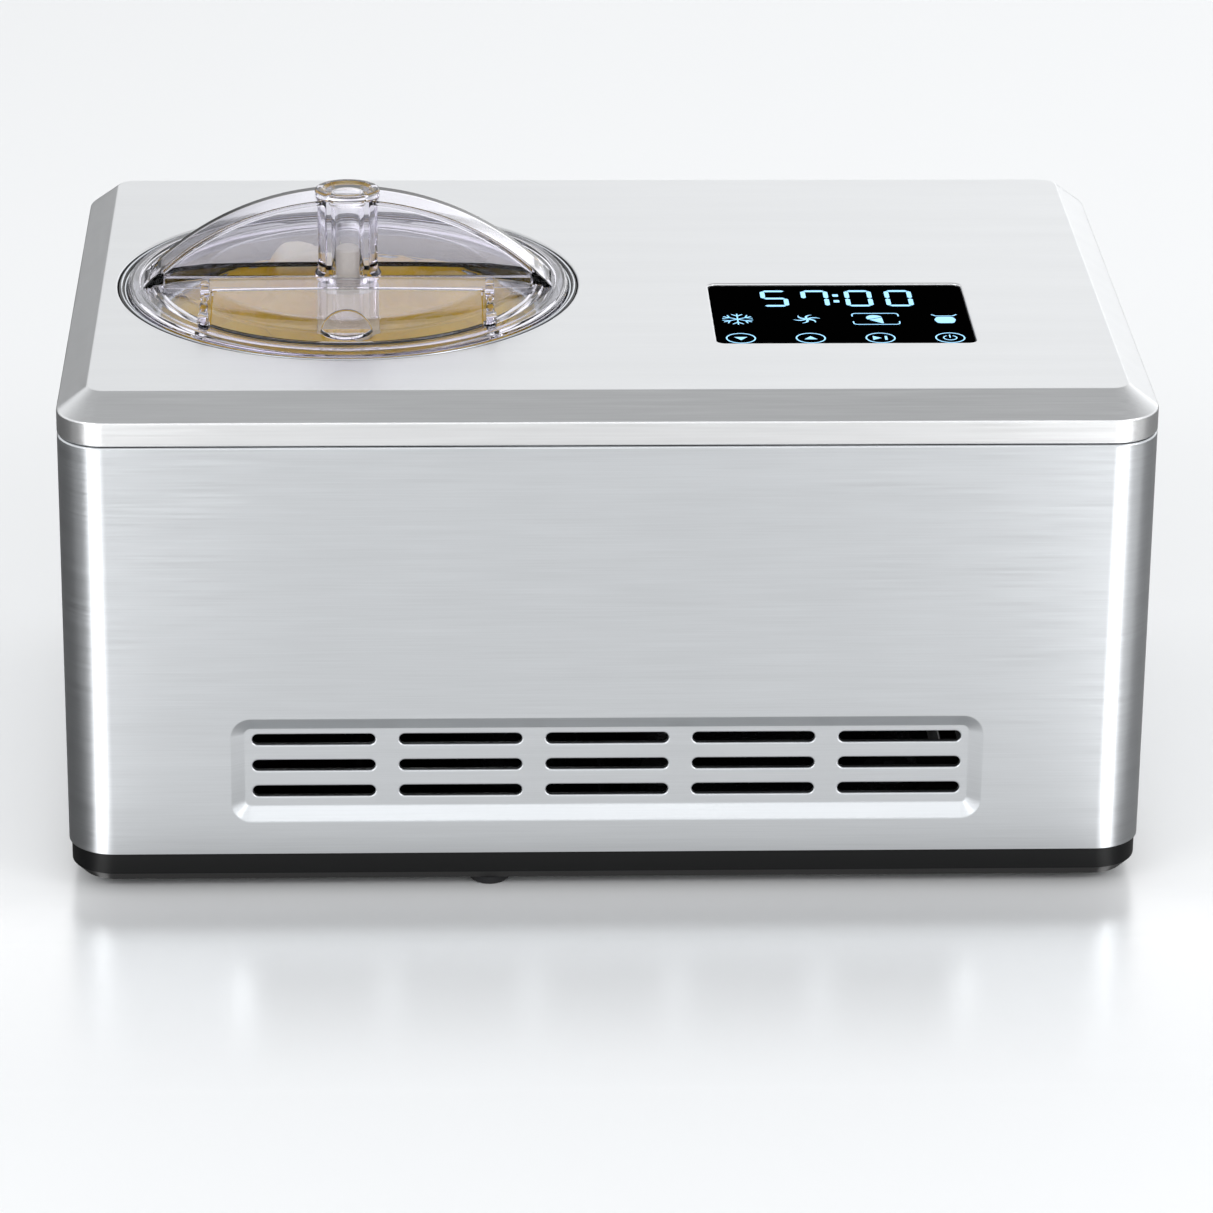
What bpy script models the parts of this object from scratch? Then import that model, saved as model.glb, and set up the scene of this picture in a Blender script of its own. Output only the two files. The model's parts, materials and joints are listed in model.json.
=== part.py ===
"""Countertop ice cream maker with its own compressor: the design model.

Metres, +Z up, +X to the machine's right, +Y to its back. The origin is on the table, under the
middle of the footprint. A piece that moves is parented to an empty that stands on its axis.
"""
import math

import bmesh
import bpy
from mathutils import Matrix, Vector

# Driving dimensions of the housing
WIDTH = 0.425
DEPTH = 0.285
TOP_Z = 0.207
CORNER = 0.019
GAP = 0.0003
TRAY_BOTTOM_Z = 0.004
TRAY_RIM_Z = 0.017
COVER_SPLIT_Z = 0.1883
COVER_BAND_TOP_Z = 0.198
COVER_INSET = 0.012
WALL = 0.0012
COVER_WALL = 0.0015
TRAY_WALL = 0.0025
TRAY_FLOOR_Z = TRAY_BOTTOM_Z + TRAY_WALL

# Under the tray: places of the feet and the screws
FOOT_RADIUS = 0.008
FOOT_STEM_RADIUS = 0.003
FEET = {"foot_front_left": (-0.180, -0.112), "foot_front_right": (0.180, -0.112),
        "foot_rear_left": (-0.180, 0.112), "foot_rear_right": (0.180, 0.112),
        "foot_front_middle": (-0.046, -0.128)}
BASE_SCREWS = [(-0.150, -0.125), (0.160, -0.098), (-0.120, 0.125), (0.198, 0.122)]

# Front vent panel
VENT_HALF = 0.1475
VENT_LOW_Z = 0.031
VENT_HIGH_Z = 0.075
VENT_DEPTH = 0.0035
VENT_BEVEL = 0.0055
VENT_COLUMNS = 5
VENT_PITCH_X = 0.0575
VENT_ROWS_Z = (0.0427, 0.0537, 0.0647)
SLOT_LENGTH = 0.048
SLOT_HEIGHT = 0.0044

# Well, bucket and lid: the well's axis, and radii from it
WELL = Vector((-0.1015, -0.003, 0.0))
HOLE_RADIUS = 0.093
BUCKET_RADIUS = 0.080
BUCKET_WALL = 0.0015
BUCKET_BOTTOM_Z = 0.088
BUCKET_RIM_Z = 0.2003
POT_RADIUS = 0.0827
POT_WALL = 0.002
POT_BOTTOM_Z = 0.0845
LEDGE_Z = 0.1985
COIL_TUBE = 0.003
COIL_RADIUS = 0.0896
COIL_TURNS = 3.5
COIL_LOW_Z = 0.094
COIL_HIGH_Z = 0.176
COIL_TAIL_X = 0.070
FOAM_INNER = 0.0934
FOAM_OUTER = 0.1022
FOAM_BOTTOM_Z = 0.072
HANDLE_PIVOT_Z = 0.190
HANDLE_RADIUS = 0.0775
HANDLE_WIRE = 0.0015
LID_RADIUS = 0.089
LID_WALL = 0.002
GRIP_HALF_WIDTH = 0.010
GRIP_ARC_RADIUS = 0.1107
GRIP_HALF_SPAN = 0.0835
POST_RADIUS = 0.0125
POST_TOP = 0.040
FLAP_HALF_WIDTH = 0.054
FLAP_REAR_Y = -0.0232
FLAP_RADIUS = 0.0785
FLAP_AXIS = (-0.0255, 0.0040)
FLAP_GAP = 0.0005
FLAP_PIN_RADIUS = 0.0011
TAB_RADIUS = 0.0103
TAB_Y = -0.0700

# Control window
PANEL_CENTRE = (0.0952, -0.042)
PANEL_SIZE = (0.1025, 0.0715)

# Mixing drive: tooth counts and module set the gear axes
MODULE = 0.002
OUTPUT_TEETH = 32
IDLER_SMALL_TEETH = 12
IDLER_LARGE_TEETH = 26
MOTOR_TEETH = 12
IDLER_ANGLE = math.radians(-40)
MOTOR_ANGLE = math.radians(-20)
SHAFT_RADIUS = 0.005
SHAFT_TOP_Z = 0.160

# Cold side
COMPRESSOR = Vector((0.070, -0.048, 0.0))
COMPRESSOR_RADIUS = 0.050
GROMMET_OFFSET = 0.045
FAN_AXIS = Vector((0.104, 0.090, 0.088))
FAN_BORE = 0.058
FAN_BLADES = 7
REAR_WINDOW = (0.024, 0.028, 0.184, 0.168)
INLET_CENTRE = (-0.145, 0.047)
GRILLE_SCREWS = [(0.0285, 0.1630), (0.1795, 0.1630)]


def collection(name):
    """Makes a collection in the scene."""
    made = bpy.data.collections.new(name)
    bpy.context.scene.collection.children.link(made)
    return made


for old in list(bpy.data.objects):
    bpy.data.objects.remove(old, do_unlink=True)
PARTS = collection("ice_cream_maker")
CUTTERS = collection("cutters")


def finish(name, colour, roughness, metallic=0.0, alpha=1.0):
    """Makes a Principled material."""
    made = bpy.data.materials.new(name)
    made.use_nodes = True
    shader = made.node_tree.nodes["Principled BSDF"]
    shader.inputs["Base Color"].default_value = (*colour, 1.0)
    shader.inputs["Roughness"].default_value = roughness
    shader.inputs["Metallic"].default_value = metallic
    shader.inputs["Alpha"].default_value = alpha
    return made


STEEL = finish("brushed_steel", (0.66, 0.67, 0.68), 0.32, 1.0)
BLACK = finish("black_plastic", (0.012, 0.013, 0.015), 0.4)
GLASS = finish("black_glass", (0.004, 0.004, 0.005), 0.05)
CLEAR = finish("clear_plastic", (0.93, 0.93, 0.95), 0.05, 0.0, 0.3)
ALUMINIUM = finish("aluminium", (0.55, 0.56, 0.57), 0.4, 1.0)
COPPER = finish("copper", (0.80, 0.42, 0.27), 0.35, 1.0)
BRONZE = finish("bronze", (0.62, 0.42, 0.20), 0.4, 1.0)
FOAM = finish("white_foam", (0.86, 0.86, 0.84), 0.9)
RUBBER = finish("black_rubber", (0.02, 0.02, 0.02), 0.8)
ENAMEL = finish("black_enamel", (0.02, 0.02, 0.022), 0.3, 0.2)
NYLON = finish("white_nylon", (0.85, 0.84, 0.80), 0.45)
CIRCUIT = finish("circuit_board", (0.02, 0.16, 0.07), 0.5)
ZINC = finish("zinc_steel", (0.60, 0.60, 0.60), 0.35, 1.0)


def anchor(name, place, turn=(0.0, 0.0, 0.0)):
    """Stands an empty on a moving piece's axis, or where a group of pieces is centred."""
    empty = bpy.data.objects.new(name, None)
    empty.location = place
    empty.rotation_euler = turn
    PARTS.objects.link(empty)
    return empty


def part(name, mesh, material, parent=None, smooth=True):
    """Adds a sub-part to the model."""
    made = bpy.data.objects.new(name, mesh)
    made.parent = parent
    PARTS.objects.link(made)
    mesh.materials.append(material)
    if smooth:
        mesh.shade_smooth()
        mesh.set_sharp_from_angle(angle=math.radians(30))
    return made


def tool(made, parent=None):
    """Turns an object, or a mesh, into a hidden cutter."""
    if isinstance(made, bpy.types.Mesh):
        made = bpy.data.objects.new(made.name, made)
        made.parent = parent
    for holder in list(made.users_collection):
        holder.objects.unlink(made)
    CUTTERS.objects.link(made)
    made.hide_render = True
    made.display_type = "WIRE"
    return made


def combine(target, other, operation):
    """Cuts, joins or intersects a part with a cutter."""
    modifier = target.modifiers.new(other.name, "BOOLEAN")
    modifier.operation = operation
    modifier.solver = "EXACT"
    modifier.object = other
    return target


def cut(target, mesh, parent=None):
    """Cuts a mesh out of a part."""
    return combine(target, tool(mesh, parent), "DIFFERENCE")


def join(target, mesh, parent=None):
    """Fuses a mesh with a part."""
    return combine(target, tool(mesh, parent), "UNION")


def shell(made, thickness):
    """Gives an open surface its thickness, inwards."""
    modifier = made.modifiers.new("wall", "SOLIDIFY")
    modifier.thickness = thickness
    modifier.offset = -1.0
    modifier.use_even_offset = True
    return made


def finished(name, bm):
    """Writes a bmesh to a new mesh."""
    mesh = bpy.data.meshes.new(name)
    bm.to_mesh(mesh)
    bm.free()
    return mesh


def boxes(name, spans):
    """Makes a mesh of separate boxes, each given by its low and its high corner."""
    bm = bmesh.new()
    for low, high in spans:
        low, high = Vector(low), Vector(high)
        size = Matrix.Diagonal((*(high - low), 1.0))
        bmesh.ops.create_cube(bm, size=1.0, matrix=Matrix.Translation((low + high) / 2) @ size)
    return finished(name, bm)


def rods(name, rods_given, segments=24, along="Z"):
    """Makes a mesh of separate cylinders, each given by x, y, z of its middle, radius and length."""
    turns = {"X": Matrix.Rotation(math.pi / 2, 4, "Y"), "Y": Matrix.Rotation(math.pi / 2, 4, "X"),
             "Z": Matrix.Identity(4)}
    bm = bmesh.new()
    for middle, radius, length in rods_given:
        bmesh.ops.create_cone(bm, cap_ends=True, segments=segments, radius1=radius, radius2=radius,
                              depth=length, matrix=Matrix.Translation(middle) @ turns[along])
    return finished(name, bm)


def turned(name, profile, material, parent=None, steps=36, closed=True):
    """Turns a profile of (radius, height) points about the parent's axis."""
    mesh = bpy.data.meshes.new(name)
    points = [(radius, 0.0, height) for radius, height in profile]
    count = len(points)
    edges = [(index, (index + 1) % count) for index in range(count if closed else count - 1)]
    mesh.from_pydata(points, edges, [])
    made = part(name, mesh, material, parent, smooth=False)
    screw = made.modifiers.new("turn", "SCREW")
    screw.steps = steps
    screw.render_steps = steps
    screw.use_merge_vertices = True
    screw.merge_threshold = 0.00001
    screw.use_smooth_shade = True
    return made


def outline_mesh(name, outlines, low_z, high_z, matrix=Matrix.Identity(4)):
    """Extrudes flat outlines between two heights; an outline inside another is a hole."""
    curve = bpy.data.curves.new(name, "CURVE")
    curve.dimensions = "2D"
    curve.fill_mode = "BOTH"
    curve.extrude = (high_z - low_z) / 2
    for outline in outlines:
        spline = curve.splines.new("POLY")
        spline.points.add(len(outline) - 1)
        for point, (x, y) in zip(spline.points, outline):
            point.co = (x, y, 0.0, 1.0)
        spline.use_cyclic_u = True
    drawn = bpy.data.objects.new(name + "_outline", curve)
    PARTS.objects.link(drawn)
    graph = bpy.context.evaluated_depsgraph_get()
    mesh = bpy.data.meshes.new_from_object(drawn.evaluated_get(graph))
    bpy.data.objects.remove(drawn, do_unlink=True)
    bm = bmesh.new()
    bm.from_mesh(mesh)
    bpy.data.meshes.remove(mesh)
    bmesh.ops.remove_doubles(bm, verts=bm.verts, dist=0.000001)
    bmesh.ops.translate(bm, verts=bm.verts, vec=(0.0, 0.0, (low_z + high_z) / 2))
    bmesh.ops.transform(bm, verts=bm.verts, matrix=matrix)
    bmesh.ops.recalc_face_normals(bm, faces=bm.faces)
    return finished(name, bm)


def arc(centre, radius, start, end, segments):
    """Points along an arc, angles in degrees."""
    angles = [math.radians(start + (end - start) * step / segments) for step in range(segments + 1)]
    return [(centre[0] + radius * math.cos(a), centre[1] + radius * math.sin(a)) for a in angles]


def rounded_rectangle(centre, half_x, half_y, radius, segments=4):
    """Outline of a rectangle with round corners."""
    points = []
    for corner, (side_x, side_y) in enumerate(((1, 1), (-1, 1), (-1, -1), (1, -1))):
        middle = (centre[0] + side_x * (half_x - radius), centre[1] + side_y * (half_y - radius))
        points += arc(middle, radius, 90 * corner, 90 * corner + 90, segments)
    return points


def rounded_block(half_x, half_y, low_z, high_z, radius, segments=4):
    """A bmesh box with round vertical corners."""
    bm = bmesh.new()
    size = Matrix.Diagonal((2 * half_x, 2 * half_y, high_z - low_z, 1.0))
    place = Matrix.Translation((0.0, 0.0, (low_z + high_z) / 2))
    bmesh.ops.create_cube(bm, size=1.0, matrix=place @ size)
    upright = [edge for edge in bm.edges if abs(edge.verts[0].co.z - edge.verts[1].co.z) > 1e-6]
    bmesh.ops.bevel(bm, geom=upright, offset=radius, segments=segments, profile=0.5, affect="EDGES")
    return bm


def level_face(bm, height):
    """The flat face at a height."""
    return [face for face in bm.faces if all(abs(v.co.z - height) < 1e-6 for v in face.verts)]


def smooth_route(stops, spacing):
    """Points on a smooth curve through the stops (Catmull-Rom), about one spacing apart."""
    stops = [Vector(stop) for stop in stops]
    ends = [2 * stops[0] - stops[1], *stops, 2 * stops[-1] - stops[-2]]
    route = [stops[0]]
    for a, b, c, d in zip(ends, ends[1:], ends[2:], ends[3:]):
        steps = max(2, round((c - b).length / spacing))
        for step in range(1, steps + 1):
            t = step / steps
            route.append(0.5 * (2 * b + (c - a) * t + (2 * a - 5 * b + 4 * c - d) * t * t
                                + (3 * b - a - 3 * c + d) * t ** 3))
    return route


def tube(name, route, radius, material, parent=None):
    """A round tube or wire with filled ends along a route."""
    curve = bpy.data.curves.new(name, "CURVE")
    curve.dimensions = "3D"
    curve.bevel_depth = radius
    curve.bevel_resolution = 2
    curve.use_fill_caps = True
    spline = curve.splines.new("POLY")
    spline.points.add(len(route) - 1)
    for point, place in zip(spline.points, route):
        point.co = (*place, 1.0)
    curve.materials.append(material)
    made = bpy.data.objects.new(name, curve)
    made.parent = parent
    PARTS.objects.link(made)
    return made


# ---------------------------------------------------------------- housing

def base_tray():
    """Open black tray: round lower edge, upstand inside the steel wall, air slots in the floor."""
    low = TRAY_BOTTOM_Z
    bm = rounded_block(WIDTH / 2 - 0.001, DEPTH / 2 - 0.001, low, TRAY_RIM_Z, CORNER - 0.001, 3)
    rim = level_face(bm, low)[0].edges[:]
    bmesh.ops.bevel(bm, geom=rim, offset=0.0045, segments=1, profile=0.5, affect="EDGES")
    bmesh.ops.delete(bm, geom=level_face(bm, TRAY_RIM_Z), context="FACES_ONLY")
    tray = shell(part("base_tray", finished("base_tray", bm), BLACK), TRAY_WALL)
    inside = WALL + 0.0004
    ring = rounded_block(WIDTH / 2 - inside, DEPTH / 2 - inside, 0.011, 0.023, CORNER - inside, 3)
    for height in (0.011, 0.023):
        bmesh.ops.delete(ring, geom=level_face(ring, height), context="FACES_ONLY")
    upstand = shell(tool(finished("tray_upstand", ring)), 0.0024)
    combine(tray, upstand, "UNION")
    floor = (TRAY_BOTTOM_Z - 0.002, TRAY_FLOOR_Z + 0.002)
    slots = [((x, -0.012, floor[0]), (x + 0.005, 0.034, floor[1]))
             for x in (0.140 + 0.012 * index for index in range(5))]
    cut(tray, boxes("tray_air_slots", slots))
    middle_z = sum(floor) / 2
    holes = [((x, y, middle_z), radius, floor[1] - floor[0])
             for x, y, radius in [(*place, 0.0033) for place in FEET.values()]
             + [(*place, 0.0021) for place in BASE_SCREWS]]
    return cut(tray, rods("tray_holes", holes, segments=10))


def feet():
    """Rubber feet with a stem that plugs into the tray's floor."""
    top = TRAY_BOTTOM_Z - GAP
    stem, radius = FOOT_STEM_RADIUS, FOOT_RADIUS
    profile = [(0.0, 0.0062), (stem, 0.0062), (stem, top), (radius, top), (radius - 0.0005, 0.0), (0.0, 0.0)]
    for name, (x, y) in FEET.items():
        turned(name, profile, RUBBER, anchor(name + "_place", (x, y, 0.0)), steps=12, closed=False)


def base_screws():
    """Pan-head screws under the tray."""
    head = TRAY_BOTTOM_Z - GAP
    profile = [(0.0, 0.013), (0.0017, 0.012), (0.0017, head), (0.0038, head), (0.0034, 0.0020),
               (0.0, 0.0018)]
    for number, (x, y) in enumerate(BASE_SCREWS, start=1):
        place = anchor(f"base_screw_place_{number}", (x, y, 0.0))
        turned(f"base_screw_{number}", profile, ZINC, place, steps=10, closed=False)


def housing_wrap():
    """Steel wall all round with a turned-in top edge, the vent panel and the rear openings."""
    low, high = TRAY_RIM_Z + GAP, COVER_SPLIT_Z
    bm = rounded_block(WIDTH / 2, DEPTH / 2, low, high, CORNER)
    top = level_face(bm, high)
    bmesh.ops.inset_region(bm, faces=top, thickness=0.008, use_even_offset=True)
    bmesh.ops.delete(bm, geom=top + level_face(bm, low), context="FACES_ONLY")
    wrap = shell(part("housing_wrap", finished("housing_wrap", bm), STEEL), WALL)
    vent_panel(wrap)
    rear_openings(wrap)
    return wrap


def vent_panel(wrap):
    """Presses the vent panel into the front wall and cuts its slots."""
    front = -DEPTH / 2
    middle_z = (VENT_LOW_Z + VENT_HIGH_Z) / 2
    half_z = (VENT_HIGH_Z - VENT_LOW_Z) / 2
    upright = Matrix.Rotation(math.pi / 2, 4, "X")
    outer = rounded_rectangle((0.0, middle_z), VENT_HALF + WALL, half_z + WALL, 0.008)
    join(wrap, outline_mesh("vent_pan", [outer], -front - WALL - VENT_DEPTH, -front - WALL / 2, upright))
    bm = rounded_block(VENT_HALF, half_z, 0.0, 0.004, 0.008, segments=4)
    floor = level_face(bm, 0.0)
    bmesh.ops.inset_region(bm, faces=floor, thickness=VENT_BEVEL, depth=VENT_DEPTH,
                           use_even_offset=True)
    bmesh.ops.transform(bm, matrix=Matrix.Translation((0.0, front, middle_z)) @ upright, verts=bm.verts)
    cut(wrap, finished("vent_press", bm))
    pad = (SLOT_LENGTH - SLOT_HEIGHT) / 2
    bm = bmesh.new()
    for column in range(VENT_COLUMNS):
        for row_z in VENT_ROWS_Z:
            x = (column - (VENT_COLUMNS - 1) / 2) * VENT_PITCH_X
            ends = (arc((x + pad, row_z), SLOT_HEIGHT / 2, -90, 90, 3)
                    + arc((x - pad, row_z), SLOT_HEIGHT / 2, 90, 270, 3))
            slot = outline_mesh("vent_slot", [ends], -front - 0.012, -front + 0.004, upright)
            bm.from_mesh(slot)
            bpy.data.meshes.remove(slot)
    cut(wrap, finished("vent_slots", bm))


def rear_openings(wrap):
    """Cuts the window of the rear grille and the hole of the mains inlet."""
    left, low, right, high = REAR_WINDOW
    x, z = INLET_CENTRE
    back = DEPTH / 2
    cut(wrap, boxes("rear_holes", [((left, back - 0.004, low), (right, back + 0.004, high)),
                                   ((x - 0.0156, back - 0.004, z - 0.0118),
                                    (x + 0.0156, back + 0.004, z + 0.0118))]))


def top_cover():
    """Steel pan: upright band, sloping edge, flat top with the well's hole and the window."""
    low = COVER_SPLIT_Z + GAP
    bm = rounded_block(WIDTH / 2, DEPTH / 2, low, COVER_BAND_TOP_Z, CORNER)
    top = level_face(bm, COVER_BAND_TOP_Z)
    bmesh.ops.inset_region(bm, faces=top, thickness=COVER_INSET, depth=TOP_Z - COVER_BAND_TOP_Z,
                           use_even_offset=True)
    bmesh.ops.delete(bm, geom=level_face(bm, low), context="FACES_ONLY")
    cover = shell(part("top_cover", finished("top_cover", bm), STEEL), COVER_WALL)
    hole_middle = (WELL.x, WELL.y, TOP_Z)
    cut(cover, rods("well_hole", [(hole_middle, HOLE_RADIUS, 0.008)], segments=64))
    window = rounded_rectangle(PANEL_CENTRE, PANEL_SIZE[0] / 2, PANEL_SIZE[1] / 2, 0.0035)
    return cut(cover, outline_mesh("window", [window], TOP_Z - 0.006, TOP_Z + 0.004))


def rear_grille():
    """Black louvred panel that clips into the rear window from inside."""
    left, low, right, high = REAR_WINDOW
    back = DEPTH / 2
    inset, lap = 0.0004, 0.0045
    flange = ((left - lap, back - 0.004, low - lap), (right + lap, back - WALL - GAP, high + lap))
    grille = part("rear_grille", boxes("rear_grille", [flange]), BLACK, smooth=False)
    face = ((left + inset, back - 0.0035, low + inset), (right - inset, back - 0.0002, high - inset))
    join(grille, boxes("grille_face", [face]))
    slots = []
    for column_x in (left + 0.009, (left + right) / 2 + 0.004):
        for row in range(11):
            z = low + 0.010 + 0.0112 * row
            slots.append(((column_x, back - 0.010, z), (column_x + 0.067, back + 0.004, z + 0.0048)))
    cut(grille, boxes("grille_slots", slots))
    holes = [((x, back, z), 0.0017, 0.02) for x, z in GRILLE_SCREWS]
    return cut(grille, rods("grille_screw_holes", holes, segments=12, along="Y"))


def grille_screws():
    """Screws at the upper corners of the rear grille, heads flush with its face."""
    profile = [(0.0, 0.0075), (0.0013, 0.0075), (0.0013, 0.0), (0.0, 0.0)]
    for number, (x, z) in enumerate(GRILLE_SCREWS, start=1):
        place = anchor(f"grille_screw_place_{number}", (x, DEPTH / 2 - 0.0080, z), (-math.pi / 2, 0.0, 0.0))
        turned(f"grille_screw_{number}", profile, ZINC, place, steps=10, closed=False)


def mains_inlet():
    """Three-pin appliance inlet, open to the back."""
    x, z = INLET_CENTRE
    face_y = DEPTH / 2 - 0.0002
    behind_wall = DEPTH / 2 - WALL - GAP
    body = ((x - 0.0152, 0.118, z - 0.0114), (x + 0.0152, face_y, z + 0.0114))
    inlet = part("mains_inlet", boxes("mains_inlet", [body]), BLACK, smooth=False)
    ears = ((x - 0.021, behind_wall - 0.002, z - 0.0135), (x + 0.021, behind_wall, z + 0.0135))
    join(inlet, boxes("inlet_ears", [ears]))
    cut(inlet, boxes("inlet_socket", [((x - 0.012, 0.1265, z - 0.00825), (x + 0.012, 0.150, z + 0.00825))]))
    pins = [(-0.007, -0.0005), (0.0, 0.0035), (0.007, -0.0005)]
    spans = [((x + px - 0.001, 0.122, z + pz - 0.002), (x + px + 0.001, 0.1395, z + pz + 0.002))
             for px, pz in pins]
    return join(inlet, boxes("inlet_pins", spans))


# ---------------------------------------------------------------- controls

def control_panel():
    """Black glass, the plastic frame that carries it, the control board and its display."""
    x, y = PANEL_CENTRE
    half_x, half_y = PANEL_SIZE[0] / 2, PANEL_SIZE[1] / 2
    glass = rounded_rectangle(PANEL_CENTRE, half_x - 0.0004, half_y - 0.0004, 0.0031)
    part("control_glass", outline_mesh("control_glass", [glass], 0.2030, 0.2062), GLASS)
    frame_outer = rounded_rectangle(PANEL_CENTRE, half_x + 0.005, half_y + 0.005, 0.006)
    frame_inner = rounded_rectangle(PANEL_CENTRE, half_x - 0.005, half_y - 0.005, 0.001, 2)
    frame = part("panel_frame", outline_mesh("panel_frame", [frame_outer, frame_inner], 0.198, 0.2052),
                 BLACK)
    pocket = rounded_rectangle(PANEL_CENTRE, half_x, half_y, 0.0035)
    cut(frame, outline_mesh("glass_pocket", [pocket], 0.2027, 0.2080))
    part("control_board", boxes("control_board", [((x - 0.050, y - 0.034, 0.1961),
                                                   (x + 0.050, y + 0.034, 0.1977))]), CIRCUIT, smooth=False)
    part("display_module", boxes("display_module", [((x - 0.031, y + 0.006, 0.1980),
                                                     (x + 0.031, y + 0.028, 0.2015))]), NYLON, smooth=False)


def power_board():
    """Upright power board on a bracket at the right wall."""
    spans = [((0.1950, -0.108, 0.036), (0.1966, -0.014, 0.118))]
    board = part("power_board", boxes("power_board", spans), CIRCUIT, smooth=False)
    blocks = [((0.170, -0.104, 0.044), (0.1955, -0.072, 0.076)),
              ((0.182, -0.064, 0.044), (0.1955, -0.046, 0.060)),
              ((0.186, -0.102, 0.088), (0.1955, -0.066, 0.106)),
              ((0.188, -0.040, 0.090), (0.1955, -0.020, 0.110))]
    join(board, boxes("board_blocks", blocks))
    join(board, rods("board_capacitor", [((0.186, -0.030, 0.060), 0.008, 0.0195)], along="X"))
    back = ((0.2085, -0.104, 0.050), (0.2108, -0.018, 0.104))
    bracket = part("board_bracket", boxes("board_bracket", [back]), NYLON, smooth=False)
    posts = [((0.2033, y, z), 0.004, 0.0118) for y in (-0.096, -0.026) for z in (0.058, 0.096)]
    join(bracket, rods("bracket_posts", posts, segments=12, along="X"))


# ---------------------------------------------------------------- well and its cold side

def well_parts(well):
    """Collar, evaporator pot, its coil and the foam round them."""
    turned("well_collar", [(0.0970, 0.2049), (0.0970, 0.2022), (0.0926, 0.2022), (0.0926, 0.1957),
                           (0.0823, 0.1957), (0.0823, LEDGE_Z), (0.0903, LEDGE_Z), (0.0903, 0.2063),
                           (0.0926, 0.2063), (0.0926, 0.2049)], BLACK, well, steps=36)
    outer = POT_RADIUS + POT_WALL
    floor = POT_BOTTOM_Z + POT_WALL
    turned("evaporator_pot", [(0.0880, 0.1954), (0.0880, 0.1937), (outer, 0.1937),
                              (outer, POT_BOTTOM_Z + 0.003), (outer - 0.003, POT_BOTTOM_Z),
                              (0.0083, POT_BOTTOM_Z), (0.0083, floor), (POT_RADIUS - 0.003, floor),
                              (POT_RADIUS, floor + 0.003), (POT_RADIUS, 0.1954)],
           ALUMINIUM, well, steps=36)
    tube("evaporator_coil", coil_route(), COIL_TUBE, COPPER, well)
    foam = turned("pot_insulation", [(FOAM_OUTER, 0.1934), (FOAM_OUTER, FOAM_BOTTOM_Z),
                                     (0.0120, FOAM_BOTTOM_Z), (0.0120, POT_BOTTOM_Z - GAP),
                                     (FOAM_INNER, POT_BOTTOM_Z - GAP), (FOAM_INNER, 0.1934)],
                  FOAM, well, steps=36)
    side = COIL_TUBE + 0.0007
    tails = [((0.0, y - side, z - side), (0.115, y + side, z + side))
             for y, z in ((COIL_RADIUS, COIL_LOW_Z), (-COIL_RADIUS, COIL_HIGH_Z))]
    cut(foam, boxes("coil_tail_slots", tails), well)


def coil_route():
    """Straight tail, turns round the pot, straight tail; both tails run to the right."""
    steps = round(16 * COIL_TURNS)
    route = [Vector((COIL_TAIL_X * share, COIL_RADIUS, COIL_LOW_Z)) for share in (1.0, 0.5)]
    for step in range(steps + 1):
        share = step / steps
        angle = math.pi / 2 + 2 * math.pi * COIL_TURNS * share
        height = COIL_LOW_Z + (COIL_HIGH_Z - COIL_LOW_Z) * share
        route.append(Vector((COIL_RADIUS * math.cos(angle), COIL_RADIUS * math.sin(angle), height)))
    route += [Vector((COIL_TAIL_X * share, -COIL_RADIUS, COIL_HIGH_Z)) for share in (0.5, 1.0)]
    return route


def compressor():
    """Hermetic shell with its mounting plate, the pump inside, grommets and the relay cover."""
    place = anchor("compressor_place", COMPRESSOR)
    r = COMPRESSOR_RADIUS
    profile = [(0.004, 0.152), (0.020, 0.1505), (0.038, 0.143), (0.048, 0.130), (r, 0.116), (r, 0.058),
               (0.044, 0.037), (0.026, 0.0265), (0.0, 0.026)]
    body = shell(turned("compressor_shell", profile, ENAMEL, place, steps=20, closed=False), 0.0025)
    half = GROMMET_OFFSET + 0.013
    plate = outline_mesh("compressor_plate", [rounded_rectangle((0.0, 0.0), half, half, 0.012)],
                         0.0243, 0.0273)
    join(body, plate, place)
    corners = [(side_x * GROMMET_OFFSET, side_y * GROMMET_OFFSET)
               for side_x in (-1, 1) for side_y in (-1, 1)]
    holes = [((x, y, 0.0258), 0.0075, 0.008) for x, y in corners]
    cut(body, rods("plate_holes", holes, segments=16), place)
    turned("compressor_pump", [(0.0, 0.120), (0.034, 0.120), (0.034, 0.040), (0.0, 0.040)],
           ENAMEL, place, steps=24, closed=False)
    sides = {(-1, -1): "front_left", (1, -1): "front_right", (-1, 1): "rear_left", (1, 1): "rear_right"}
    ring = [(0.010, 0.0320), (0.010, 0.0276), (0.0072, 0.0276), (0.0072, 0.0240), (0.010, 0.0240),
            (0.010, 0.0068), (0.0036, 0.0068), (0.0036, 0.0320)]
    for (side_x, side_y), where in sides.items():
        corner = COMPRESSOR + Vector((side_x * GROMMET_OFFSET, side_y * GROMMET_OFFSET, 0.0))
        turned(f"grommet_{where}", ring, RUBBER, anchor(f"grommet_{where}_place", corner), steps=10)
    x, y = COMPRESSOR.x + r + 0.001, COMPRESSOR.y
    part("relay_cover", boxes("relay_cover", [((x, y - 0.020, 0.070), (x + 0.022, y + 0.020, 0.112))]),
         BLACK, smooth=False)


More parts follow.
